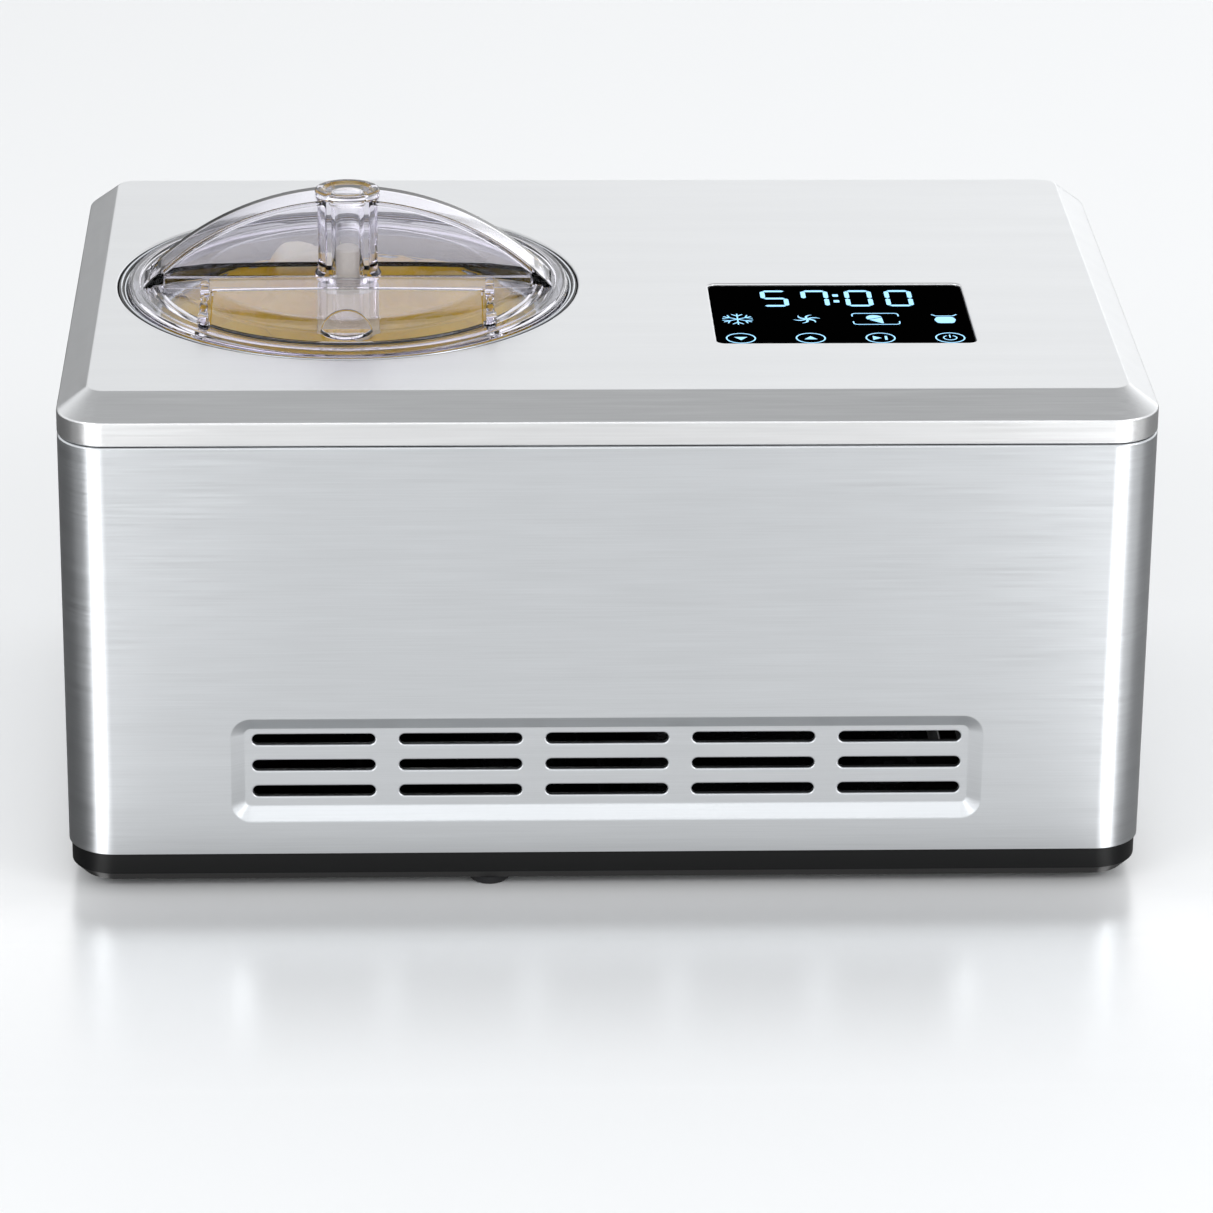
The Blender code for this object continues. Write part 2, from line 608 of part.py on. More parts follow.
def condenser():
    """Finned condenser block with end plates that stand on the tray."""
    left, right, front, back = 0.0265, 0.1815, 0.105, 0.133
    block = part("condenser", boxes("condenser", [((left, front, 0.016), (right, back, 0.164))]),
                 ALUMINIUM, smooth=False)
    plates = [((x - 0.0015, front + 0.002, 0.0068), (x + 0.0015, back - 0.002, 0.164 + 0.002))
              for x in (left, right)]
    join(block, boxes("condenser_ends", plates))
    slots = []
    for index in range(13):
        x = left + 0.006 + 0.0113 * index
        slots += [((x, front - 0.004, 0.010), (x + 0.0085, front + 0.010, 0.170)),
                  ((x, back - 0.010, 0.010), (x + 0.0085, back + 0.004, 0.170))]
    return cut(block, boxes("fin_gaps", slots))


def fan_unit():
    """Shroud with a cross of struts, the fan motor on them, and the fan that turns."""
    x, _, z = FAN_AXIS
    half = 0.065
    shroud = part("fan_shroud", boxes("fan_shroud", [((x - half, 0.076, 0.0068), (x + half, 0.104, z + half))]),
                  BLACK, smooth=False)
    cut(shroud, rods("fan_bore", [((x, 0.090, z), FAN_BORE, 0.040)], segments=40, along="Y"))
    reach, half_bar = FAN_BORE + 0.003, 0.004
    bars = [((x - reach, 0.0765, z - half_bar), (x + reach, 0.0798, z + half_bar)),
            ((x - half_bar, 0.0765, z - reach), (x + half_bar, 0.0798, z + reach))]
    for name, bar in zip(("strut_across", "strut_upright"), bars):
        join(shroud, boxes(name, [bar]))
    cut(shroud, rods("strut_hole", [((x, 0.078, z), 0.0036, 0.020)], segments=16, along="Y"))
    axis = anchor("fan_axis", FAN_AXIS, (-math.pi / 2, 0.0, 0.0))
    turned("fan_motor", [(0.0, -0.0450), (0.020, -0.0450), (0.022, -0.0420), (0.022, -0.0140),
                         (0.0032, -0.0140), (0.0032, -0.0350), (0.0, -0.0350)][::-1],
           ZINC, axis, steps=24, closed=False)
    fan = turned("fan_blades", [(0.0, 0.0100), (0.015, 0.0100), (0.017, 0.0080), (0.017, -0.0060),
                                (0.0025, -0.0060), (0.0025, -0.0330), (0.0, -0.0330)],
                 BLACK, axis, steps=20, closed=False)
    bm = bmesh.new()
    for index in range(FAN_BLADES):
        turn = Matrix.Rotation(2 * math.pi * index / FAN_BLADES, 4, "Z")
        pitch = Matrix.Rotation(math.radians(28), 4, "X")
        size = Matrix.Diagonal((0.039, 0.022, 0.0016, 1.0))
        out = Matrix.Translation((0.0335, 0.0, 0.002))
        bmesh.ops.create_cube(bm, size=1.0, matrix=turn @ out @ pitch @ size)
    join(fan, finished("blades", bm), axis)


def refrigerant_tubes():
    """Filter dryer and the tubes between compressor, condenser, dryer and evaporator coil."""
    dryer = anchor("dryer_place", (0.198, 0.070, 0.0))
    turned("filter_dryer", [(0.0, 0.150), (0.003, 0.150), (0.008, 0.143), (0.008, 0.097),
                            (0.003, 0.090), (0.0, 0.090)], COPPER, dryer, steps=20, closed=False)
    tail_x = WELL.x + COIL_TAIL_X + 0.0005
    coil_out = (tail_x, WELL.y - COIL_RADIUS, COIL_HIGH_Z)
    coil_in = (tail_x, WELL.y + COIL_RADIUS, COIL_LOW_Z)
    tube("suction_line", smooth_route([coil_out, (-0.010, -0.0923, 0.177), (0.025, -0.086, 0.177),
                                       (0.046, -0.070, 0.172), (0.052, -0.060, 0.162),
                                       (0.052, -0.060, 0.1520)], 0.008), COIL_TUBE, COPPER)
    tube("discharge_line", smooth_route([(0.088, -0.036, 0.1520), (0.088, -0.034, 0.164),
                                         (0.082, -0.010, 0.176), (0.056, 0.050, 0.178),
                                         (0.042, 0.100, 0.178), (0.040, 0.118, 0.174),
                                         (0.040, 0.119, 0.1645)], 0.016), 0.0025, COPPER)
    tube("liquid_line", smooth_route([(0.1900, 0.119, 0.030), (0.1955, 0.117, 0.032), (0.199, 0.100, 0.050),
                                      (0.198, 0.076, 0.068), (0.198, 0.070, 0.082), (0.198, 0.070, 0.0896)], 0.009),
         0.0022, COPPER)
    tube("capillary_tube", smooth_route([(0.198, 0.070, 0.1504), (0.196, 0.068, 0.160),
                                         (0.180, 0.065, 0.168), (0.120, 0.064, 0.166),
                                         (0.060, 0.062, 0.158), (0.022, 0.072, 0.130),
                                         (0.000, 0.084, 0.104), coil_in], 0.020), 0.0012, COPPER)


# ---------------------------------------------------------------- mixing drive

def gear_outline(teeth, phase):
    """Outline of a spur gear with straight-sided teeth that leave backlash."""
    pitch_radius = MODULE * teeth / 2
    pitch_angle = 2 * math.pi / teeth
    root, tip = pitch_radius - 1.2 * MODULE, pitch_radius + 0.8 * MODULE
    points = []
    for tooth in range(teeth):
        middle = phase + tooth * pitch_angle
        for radius, offset in ((root, -0.29), (tip, -0.11), (tip, 0.11), (root, 0.29)):
            angle = middle + offset * pitch_angle
            points.append((radius * math.cos(angle), radius * math.sin(angle)))
    return points


def gear_axes():
    """The axes of the output gear, the idler and the motor pinion, from the tooth counts."""
    first = MODULE * (OUTPUT_TEETH + IDLER_SMALL_TEETH) / 2
    second = MODULE * (IDLER_LARGE_TEETH + MOTOR_TEETH) / 2
    idler = WELL + first * Vector((math.cos(IDLER_ANGLE), math.sin(IDLER_ANGLE), 0.0))
    motor = idler + second * Vector((math.cos(MOTOR_ANGLE), math.sin(MOTOR_ANGLE), 0.0))
    return WELL, idler, motor


def mesh_phase(teeth, towards):
    """Phase that puts a tooth gap on the line towards a partner."""
    return towards + math.pi / teeth


def gear(name, teeth, phase, low_z, high_z, bore, parent):
    """A spur gear with a bore, as a nylon part."""
    pieces = [gear_outline(teeth, phase), arc((0.0, 0.0), bore, 0, 330, 11)]
    return part(name, outline_mesh(name, pieces, low_z, high_z), NYLON, parent)


def drive_train(well):
    """Gears, pin, shaft and motor of the mixing drive."""
    _, idler_place, motor_place = gear_axes()
    idler_axis = anchor("idler_axis", idler_place)
    motor_axis = anchor("motor_axis", motor_place)
    gear("output_gear", OUTPUT_TEETH, IDLER_ANGLE, 0.0560, 0.0620, SHAFT_RADIUS + GAP, well)
    idler = gear("idler_gear", IDLER_LARGE_TEETH, MOTOR_ANGLE, 0.0490, 0.0540, 0.0028, idler_axis)
    small = [gear_outline(IDLER_SMALL_TEETH, mesh_phase(IDLER_SMALL_TEETH, IDLER_ANGLE + math.pi)),
             arc((0.0, 0.0), 0.0028, 0, 330, 11)]
    join(idler, outline_mesh("idler_small", small, 0.0530, 0.0630), idler_axis)
    pinion = gear("motor_pinion", MOTOR_TEETH, mesh_phase(MOTOR_TEETH, MOTOR_ANGLE + math.pi),
                  0.0480, 0.0550, 0.0014, motor_axis)
    join(pinion, rods("pinion_shaft", [((0.0, 0.0, 0.0430), 0.0024, 0.0260)], segments=12), motor_axis)
    turned("idler_pin", [(0.0, 0.0658), (0.0025, 0.0658), (0.0025, 0.0468), (0.0, 0.0468)],
           ZINC, idler_axis, steps=16, closed=False)
    top, flat = SHAFT_TOP_Z, 0.0042
    shaft = turned("drive_shaft", [(0.0, top), (flat, top), (SHAFT_RADIUS, top - 0.0008),
                                   (SHAFT_RADIUS, 0.0470), (0.0, 0.0470)], ZINC, well, steps=24, closed=False)
    cut(shaft, boxes("drive_flats", [((side * 0.0075 - 0.004, -0.008, top - 0.012),
                                      (side * 0.0075 + 0.004, 0.008, top + 0.004))
                                     for side in (-1, 1)]), well)
    turned("mixer_motor", [(0.0, 0.0290), (0.0029, 0.0290), (0.0029, 0.0437), (0.024, 0.0437),
                           (0.026, 0.0420), (0.026, 0.0120), (0.024, 0.0100), (0.0, 0.0100)],
           ZINC, motor_axis, steps=24, closed=False)


def hull_mesh(name, discs, low_z, high_z, steps=28):
    """Convex block round discs, each given by its centre and radius."""
    bm = bmesh.new()
    for centre, radius in discs:
        for step in range(steps):
            angle = 2 * math.pi * step / steps
            x, y = centre.x + radius * math.cos(angle), centre.y + radius * math.sin(angle)
            bm.verts.new((x, y, low_z))
            bm.verts.new((x, y, high_z))
    result = bmesh.ops.convex_hull(bm, input=bm.verts)
    loose = [v for v in result["geom_interior"] if isinstance(v, bmesh.types.BMVert)]
    bmesh.ops.delete(bm, geom=loose, context="VERTS")
    flat = [edge for edge in bm.edges if len(edge.link_faces) == 2 and edge.calc_face_angle() < 0.001]
    bmesh.ops.dissolve_edges(bm, edges=flat)
    bmesh.ops.recalc_face_normals(bm, faces=bm.faces)
    return finished(name, bm)


def gearbox(well):
    """Gearbox pan with three legs, its cover, the shaft's bush and the seal in the pot's floor."""
    output, idler, motor = gear_axes()
    radii = [MODULE * teeth / 2 + 0.003 for teeth in (OUTPUT_TEETH, IDLER_LARGE_TEETH, MOTOR_TEETH)]
    discs = list(zip((output, idler, motor), radii))
    wide = [(centre, radius + 0.003) for centre, radius in discs]
    pan = part("gearbox_housing", hull_mesh("gearbox_housing", wide, 0.0440, 0.0662), NYLON, smooth=False)
    cut(pan, hull_mesh("gear_room", discs, 0.0465, 0.0700))
    cut(pan, rods("motor_shaft_hole", [((motor.x, motor.y, 0.045), 0.0045, 0.012)], segments=16))
    legs = [(WELL.x - 0.026, WELL.y + 0.012), (WELL.x + 0.020, WELL.y + 0.024), (WELL.x + 0.002, WELL.y - 0.030)]
    join(pan, rods("gearbox_legs", [((x, y, 0.0259), 0.005, 0.0382) for x, y in legs], segments=12))
    cover = part("gearbox_cover", hull_mesh("gearbox_cover", wide, 0.0665, 0.0717), NYLON, smooth=False)
    cut(cover, rods("bush_hole", [((WELL.x, WELL.y, 0.069), 0.0093, 0.012)]))
    turned("shaft_bearing", [(0.0090, 0.0780), (0.0090, 0.0660), (0.0053, 0.0660), (0.0053, 0.0780)],
           BRONZE, well, steps=18)
    turned("shaft_seal", [(0.0115, 0.0876), (0.0115, 0.0868), (0.0080, 0.0868), (0.0080, 0.0800),
                          (0.0053, 0.0800), (0.0053, 0.0876)], RUBBER, well, steps=18)


# ---------------------------------------------------------------- bucket, handle and paddle

def bucket(well):
    """Lift-out bucket: rolled rim, central tube round the shaft, two holes for the handle."""
    outer = BUCKET_RADIUS + BUCKET_WALL
    floor = BUCKET_BOTTOM_Z + BUCKET_WALL
    made = turned("bucket", [(0.0855, BUCKET_RIM_Z), (0.0855, LEDGE_Z + GAP), (outer, LEDGE_Z + GAP),
                             (outer, BUCKET_BOTTOM_Z + 0.003), (outer - 0.003, BUCKET_BOTTOM_Z),
                             (0.0070, BUCKET_BOTTOM_Z), (0.0070, 0.150), (0.0085, 0.150),
                             (0.0085, floor), (BUCKET_RADIUS - 0.003, floor),
                             (BUCKET_RADIUS, floor + 0.003), (BUCKET_RADIUS, BUCKET_RIM_Z)],
                  ALUMINIUM, well, steps=36)
    hole = ((0.0, 0.0, HANDLE_PIVOT_Z), HANDLE_WIRE + 0.0004, 0.2)
    return cut(made, rods("handle_holes", [hole], segments=12, along="X"), well)


def bucket_handle():
    """Wire bail, folded down along the rear of the rim, its ends in the bucket's wall."""
    axis = anchor("handle_axis", WELL + Vector((0.0, 0.0, HANDLE_PIVOT_Z)))
    end = BUCKET_RADIUS + 0.0010
    route = [Vector((end, 0.0, 0.0))]
    for step in range(17):
        angle = math.radians(4 + (180 - 8) * step / 16)
        route.append(HANDLE_RADIUS * Vector((math.cos(angle), math.sin(angle), 0.0)))
    route.append(Vector((-end, 0.0, 0.0)))
    route[1:1] = [Vector((HANDLE_RADIUS, 0.0, 0.0))]
    route[-1:-1] = [Vector((-HANDLE_RADIUS, 0.0, 0.0))]
    return tube("bucket_handle", route, HANDLE_WIRE, ZINC, axis)


def paddle(well):
    """Mixing paddle: a hub over the bucket's tube, two windowed blades, a pin into the lid's post."""
    made = turned("paddle", [(0.0, 0.2225), (0.0048, 0.2225), (0.0055, 0.2215), (0.0055, 0.2060),
                             (0.0110, 0.2060), (0.0125, 0.2045), (0.0125, 0.0903), (0.0092, 0.0903),
                             (0.0092, 0.1520), (0.0056, 0.1520), (0.0056, 0.1630), (0.0, 0.1630)],
                  NYLON, well, steps=20, closed=False)
    frame = [(0.011, 0.093), (0.072, 0.093), (0.0765, 0.098), (0.0765, 0.172), (0.070, 0.178),
             (0.058, 0.172), (0.030, 0.182), (0.011, 0.186)]
    window_low = [(0.024, 0.104), (0.066, 0.104), (0.066, 0.130), (0.024, 0.130)]
    window_high = [(0.024, 0.140), (0.066, 0.140), (0.066, 0.160), (0.024, 0.170)]
    upright = Matrix.Rotation(math.pi / 2, 4, "X")
    for name, side in (("blade_right", 0.0), ("blade_left", math.pi)):
        turn = Matrix.Rotation(side, 4, "Z")
        tilt = Matrix.Rotation(math.radians(5), 4, "X")
        lower = Matrix.Translation((0.0, 0.0, 0.135))
        raised = Matrix.Translation((0.0, 0.0, -0.135))
        matrix = turn @ lower @ tilt @ raised @ upright
        join(made, outline_mesh(name, [frame, window_low, window_high], -0.002, 0.002, matrix), well)
    return made


# ---------------------------------------------------------------- lid and flap, from the top plane

DOME_TOP = [(0.0, 0.0058), (0.030, 0.0056), (0.058, 0.0050), (0.070, 0.0036), (0.079, 0.0018),
            (0.084, 0.0015)]


def clear_lid(lid_seat):
    """Clear lid: shallow dome with a skirt, hollow grip across it, post, flap opening and clips."""
    skirt_low = LEDGE_Z + GAP - TOP_Z
    under = [(radius, height - LID_WALL) for radius, height in DOME_TOP[:4]]
    rib_low, rib = -0.0028, (0.0755, 0.0815)
    profile = (DOME_TOP + [(0.0880, 0.0015), (LID_RADIUS, 0.0005), (LID_RADIUS, skirt_low),
                           (0.0870, skirt_low), (0.0870, -0.0008), (rib[1], -0.0008), (rib[1], rib_low),
                           (rib[0], rib_low), (rib[0], 0.0005)] + under[::-1])
    lid = turned("clear_lid", profile, CLEAR, lid_seat, steps=36, closed=False)
    upright = Matrix.Rotation(math.pi / 2, 4, "X")
    drop = GRIP_ARC_RADIUS - 0.038
    for name, radius, span, half_width, foot, operation in (
            ("grip_outer", GRIP_ARC_RADIUS, GRIP_HALF_SPAN, GRIP_HALF_WIDTH, -0.0004, "UNION"),
            ("grip_inner", GRIP_ARC_RADIUS - 0.0022, 0.0742, GRIP_HALF_WIDTH - 0.0022, -0.006, "DIFFERENCE")):
        reach = math.degrees(math.asin(span / radius))
        over = arc((0.0, -drop), radius, 90 - reach, 90 + reach, 12)
        outline = [(span, foot), *over, (-span, foot)]
        block = outline_mesh(name, [outline], -half_width, half_width, upright)
        combine(lid, tool(block, lid_seat), operation)
    join(lid, post_mesh(), lid_seat)
    cut(lid, rods("post_bore", [((0.0, 0.0, 0.010), 0.0066, 0.052)], segments=16), lid_seat)
    cut(lid, flap_outline_mesh("flap_opening", 0.0, -0.0011, 0.012), lid_seat)
    y, z = FLAP_AXIS
    ears = [((side * 0.0568 - 0.0018, y - 0.006, 0.0015), (side * 0.0568 + 0.0018, y + 0.005, 0.0090))
            for side in (-1, 1)]
    for name, ear in zip(("ear_left", "ear_right"), ears):
        join(lid, boxes(name, [ear]), lid_seat)
    return cut(lid, rods("ear_bores", [((0.0, y, z), 0.0016, 0.1172)], segments=8, along="X"), lid_seat)


def post_mesh():
    """Slightly oval post with a flared top and foot."""
    bm = bmesh.new()
    rings = [(0.0020, 0.0133), (0.0090, POST_RADIUS), (POST_TOP, 0.0131)]
    for (low, low_radius), (high, high_radius) in zip(rings, rings[1:]):
        bmesh.ops.create_cone(bm, cap_ends=False, segments=20, radius1=low_radius, radius2=high_radius,
                              depth=high - low, matrix=Matrix.Translation((0.0, 0.0, (low + high) / 2)))
    bmesh.ops.remove_doubles(bm, verts=bm.verts, dist=0.000001)
    rims = [edge for edge in bm.edges if edge.is_boundary]
    bmesh.ops.holes_fill(bm, edges=rims, sides=0)
    bmesh.ops.scale(bm, vec=(1.0, 0.9, 1.0), verts=bm.verts)
    bmesh.ops.recalc_face_normals(bm, faces=bm.faces)
    return finished("post", bm)


def flap_outline_mesh(name, shrink, low_z, high_z):
    """The flap's outline: straight rear and sides, round front edge at the dome's radius.

    The rear edge swings past the lid behind the pins, so it keeps twice the gap.
    """
    half, rear, radius = FLAP_HALF_WIDTH - shrink, FLAP_REAR_Y - 2 * shrink, FLAP_RADIUS - shrink
    reach = math.degrees(math.asin(half / radius))
    front = arc((0.0, 0.0), radius, 270 - reach, 270 + reach, 14)
    return outline_mesh(name, [[(half, rear), (-half, rear), *front]], low_z, high_z)


def refill_flap(lid_seat):
    """Flap in the lid's dome, hinged at its rear edge, with a finger tab at the front."""
    axis_y, axis_z = FLAP_AXIS
    axis = anchor("flap_axis", (0.0, axis_y, axis_z))
    axis.parent = lid_seat
    under = [(radius, height - LID_WALL) for radius, height in DOME_TOP]
    flap = turned("refill_flap", DOME_TOP + under[::-1], CLEAR, axis, steps=36, closed=False)
    flap.location = (0.0, -axis_y, -axis_z)
    combine(flap, tool(flap_outline_mesh("flap_shape", FLAP_GAP, -0.010, 0.012), lid_seat), "INTERSECT")
    pins = [((side * 0.0546, axis_y, axis_z), FLAP_PIN_RADIUS, 0.0052) for side in (-1, 1)]
    join(flap, rods("flap_pins", pins, segments=8, along="X"), lid_seat)
    upright = Matrix.Translation((0.0, TAB_Y, 0.0)) @ Matrix.Rotation(math.pi / 2, 4, "X")
    standing = outline_mesh("tab_upright", [arc((0.0, 0.0024), TAB_RADIUS, 0, 180, 12)], -0.001, 0.001,
                            upright)
    join(flap, standing, lid_seat)
    lying = outline_mesh("tab_lip", [arc((0.0, TAB_Y + 0.001), TAB_RADIUS, 180, 360, 12)], 0.0031, 0.0049)
    return join(flap, lying, lid_seat)


def cables():
    """The three leads that are clipped inside the housing."""
    tube("power_cable", smooth_route([(-0.145, 0.1170, 0.047), (-0.145, 0.110, 0.046),
                                      (-0.138, 0.108, 0.028), (-0.110, 0.114, 0.012),
                                      (-0.040, 0.118, 0.011), (0.004, 0.096, 0.011),
                                      (0.010, 0.030, 0.011), (0.012, -0.060, 0.011),
                                      (0.009, -0.100, 0.011), (0.022, -0.119, 0.011),
                                      (0.060, -0.126, 0.011), (0.150, -0.126, 0.012),
                                      (0.190, -0.112, 0.018), (0.1958, -0.104, 0.027),
                                      (0.1958, -0.104, 0.0355)], 0.030), 0.0024, RUBBER)
    tube("motor_cable", smooth_route([(-0.0047, -0.0443, 0.020), (0.001, -0.049, 0.017),
                                      (0.001, -0.072, 0.011), (0.000, -0.120, 0.011),
                                      (0.030, -0.1345, 0.011), (0.150, -0.1345, 0.012),
                                      (0.190, -0.130, 0.018), (0.2000, -0.118, 0.030),
                                      (0.1995, -0.100, 0.044)], 0.030), 0.0018, RUBBER)
    tube("signal_cable", smooth_route([(0.135, -0.042, 0.1938), (0.150, -0.045, 0.184),
                                       (0.180, -0.058, 0.168), (0.1955, -0.066, 0.140),
                                       (0.1958, -0.066, 0.1186)], 0.016), 0.0018, RUBBER)


def main():
    """Builds the whole machine."""
    base_tray()
    feet()
    base_screws()
    housing_wrap()
    top_cover()
    rear_grille()
    grille_screws()
    mains_inlet()
    control_panel()
    power_board()
    well = anchor("well_axis", WELL)
    well_parts(well)
    compressor()
    condenser()
    fan_unit()
    refrigerant_tubes()
    drive_train(well)
    gearbox(well)
    bucket(well)
    bucket_handle()
    paddle(well)
    lid_seat = anchor("lid_seat", WELL + Vector((0.0, 0.0, TOP_Z)))
    clear_lid(lid_seat)
    refill_flap(lid_seat)
    cables()


main()
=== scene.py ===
"""Looks of a countertop ice cream maker with its own compressor.

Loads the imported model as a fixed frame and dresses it: brushed steel sheets, a clear lid with a
refill flap, the glass control panel, black mouldings, the bucket and the fittings inside.
Metres, +Z up, +X to the machine's right, +Y to its back.
"""
from __future__ import annotations

import json
import logging
import math
from dataclasses import dataclass, field
from enum import Enum
from typing import Iterable, Sequence

import bmesh
import bpy
from mathutils import Matrix, Vector, noise


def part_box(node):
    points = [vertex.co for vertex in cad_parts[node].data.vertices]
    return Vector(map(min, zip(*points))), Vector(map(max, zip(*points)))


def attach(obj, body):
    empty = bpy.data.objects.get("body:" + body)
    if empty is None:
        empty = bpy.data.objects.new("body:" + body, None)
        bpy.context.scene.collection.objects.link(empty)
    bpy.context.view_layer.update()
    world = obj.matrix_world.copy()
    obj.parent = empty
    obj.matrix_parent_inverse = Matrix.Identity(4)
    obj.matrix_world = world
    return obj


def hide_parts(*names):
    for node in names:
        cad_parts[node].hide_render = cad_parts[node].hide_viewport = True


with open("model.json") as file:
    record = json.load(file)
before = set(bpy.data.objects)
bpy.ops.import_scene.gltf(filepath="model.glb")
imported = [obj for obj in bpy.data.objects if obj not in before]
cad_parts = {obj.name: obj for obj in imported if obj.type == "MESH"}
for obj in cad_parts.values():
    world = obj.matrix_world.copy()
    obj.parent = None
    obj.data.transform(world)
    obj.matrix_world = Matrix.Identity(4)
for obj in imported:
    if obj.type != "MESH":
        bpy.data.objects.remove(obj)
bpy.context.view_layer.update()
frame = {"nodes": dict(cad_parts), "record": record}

logging.basicConfig(level=logging.INFO, format="%(message)s")
LOG = logging.getLogger("ice_cream_maker")

MM = 0.001
SHEET = 0.9 * MM
UPRIGHT = Matrix.Rotation(math.pi / 2, 4, "X")
Pair = tuple[float, float] | Vector


class Body(Enum):
    """The bodies of the mechanism that a piece can ride on."""

    HOUSING = "housing"
    BUCKET = "bucket"
    HANDLE = "handle"
    PADDLE = "paddle"
    LID = "lid"
    FLAP = "flap"


class Operation(Enum):
    """Ways of combining two closed meshes."""

    JOIN = "UNION"
    CUT = "DIFFERENCE"
    KEEP = "INTERSECT"


# ---------------------------------------------------------------- outlines and meshes

def in_mm(points: Iterable[Pair]) -> list[Pair]:
    """Turns flat points given in millimetres into metres."""
    return [(x * MM, y * MM) for x, y in points]


def rounded(points: Sequence[Pair], radius: float, steps: int = 4, closed: bool = False) -> list[Pair]:
    """Rounds the corners of a flat polyline with tangent arcs.

    Args:
        points: Corners of the polyline.
        radius: Radius of each arc, less where the sides are too short for it.
        steps: Straight pieces in each arc.
        closed: Whether the last point joins the first.

    Returns:
        The points of the rounded polyline.
    """
    made: list[Pair] = []
    for index, here in enumerate(points):
        middle = Vector(here)
        before = Vector(points[index - 1]) - middle
        after = Vector(points[(index + 1) % len(points)]) - middle
        at_end = not closed and index in (0, len(points) - 1)
        if at_end or before.length < 1e-9 or after.length < 1e-9 or before.angle(after) > math.pi - 0.01:
            made.append(tuple(here))
            continue
        half = before.angle(after) / 2
        reach = min(radius / math.tan(half), 0.49 * min(before.length, after.length))
        before.normalize()
        after.normalize()
        centre = middle + (before + after).normalized() * reach / math.cos(half)
        start, end = middle + before * reach - centre, middle + after * reach - centre
        swing = math.atan2(start.x * end.y - start.y * end.x, start.dot(end))
        for step in range(steps + 1):
            turn = Matrix.Rotation(swing * step / steps, 2)
            made.append(tuple(centre + turn @ start))
    return made


def arc(centre: Pair, radius: float, start: float, end: float, steps: int) -> list[Pair]:
    """Points along an arc.

    Args:
        centre: Centre of the arc.
        radius: Radius of the arc.
        start: First angle in degrees.
        end: Last angle in degrees.
        steps: Straight pieces in the arc.

    Returns:
        The points, both ends included.
    """
    angles = [math.radians(start + (end - start) * step / steps) for step in range(steps + 1)]
    return [(centre[0] + radius * math.cos(a), centre[1] + radius * math.sin(a)) for a in angles]


def circle(radius: float, steps: int, centre: Pair = (0.0, 0.0)) -> list[Pair]:
    """Points of a whole circle, anticlockwise."""
    return arc(centre, radius, 0.0, 360.0, steps)[:-1]


def rounded_rectangle(half_x: float, half_y: float, radius: float, steps: int = 8,
                      centre: Pair = (0.0, 0.0)) -> list[Pair]:
    """Outline of a rectangle with round corners, anticlockwise.

    Args:
        half_x: Half its width.
        half_y: Half its height.
        radius: Radius of the corners.
        steps: Straight pieces in each corner.
        centre: Its middle.

    Returns:
        The points of the outline.
    """
    made: list[Pair] = []
    for corner, (side_x, side_y) in enumerate(((1, 1), (-1, 1), (-1, -1), (1, -1))):
        middle = (centre[0] + side_x * (half_x - radius), centre[1] + side_y * (half_y - radius))
        made += arc(middle, radius, 90.0 * corner, 90.0 * corner + 90.0, steps)
    return made


def inset(outline: Sequence[Pair], distance: float) -> list[Pair]:
    """Moves an anticlockwise outline inwards, or a clockwise hole outwards.

    Args:
        outline: Points of the closed outline.
        distance: How far each side moves.

    Returns:
        The moved points.
    """
    made: list[Pair] = []
    for index, here in enumerate(outline):
        before = (Vector(here) - Vector(outline[index - 1])).normalized()
        after = (Vector(outline[(index + 1) % len(outline)]) - Vector(here)).normalized()
        sides = Vector((-before.y - after.y, before.x + after.x))
        made.append(tuple(Vector(here) + sides * distance / max(0.3, 1.0 + before.dot(after))))
    return made


def stroke(points: Sequence[Pair], width: float) -> list[Pair]:
    """Outline of a pen stroke with round ends along a polyline.

    Args:
        points: Points of the polyline.
        width: Width of the stroke.

    Returns:
        The points of the outline, anticlockwise.
    """
    path = [Vector(point) for point in points]
    left: list[Vector] = []
    right: list[Vector] = []
    for index, here in enumerate(path):
        before = (here - path[index - 1]).normalized() if index else None
        after = (path[index + 1] - here).normalized() if index < len(path) - 1 else None
        along = (before or after) + (after or before)
        side = Vector((-along.y, along.x)).normalized()
        side *= width / 2 / max(0.5, side.dot(Vector((-(after or before).y, (after or before).x))))
        left.append(here + side)
        right.append(here - side)
    caps: list[list[Vector]] = []
    for end, away in ((path[-1], path[-1] - path[-2]), (path[0], path[0] - path[1])):
        facing = math.degrees(math.atan2(away.y, away.x))
        caps.append([Vector(p) for p in arc(tuple(end), width / 2, facing - 90, facing + 90, 6)][1:-1])
    return [tuple(p) for p in right + caps[0] + left[::-1] + caps[1]]


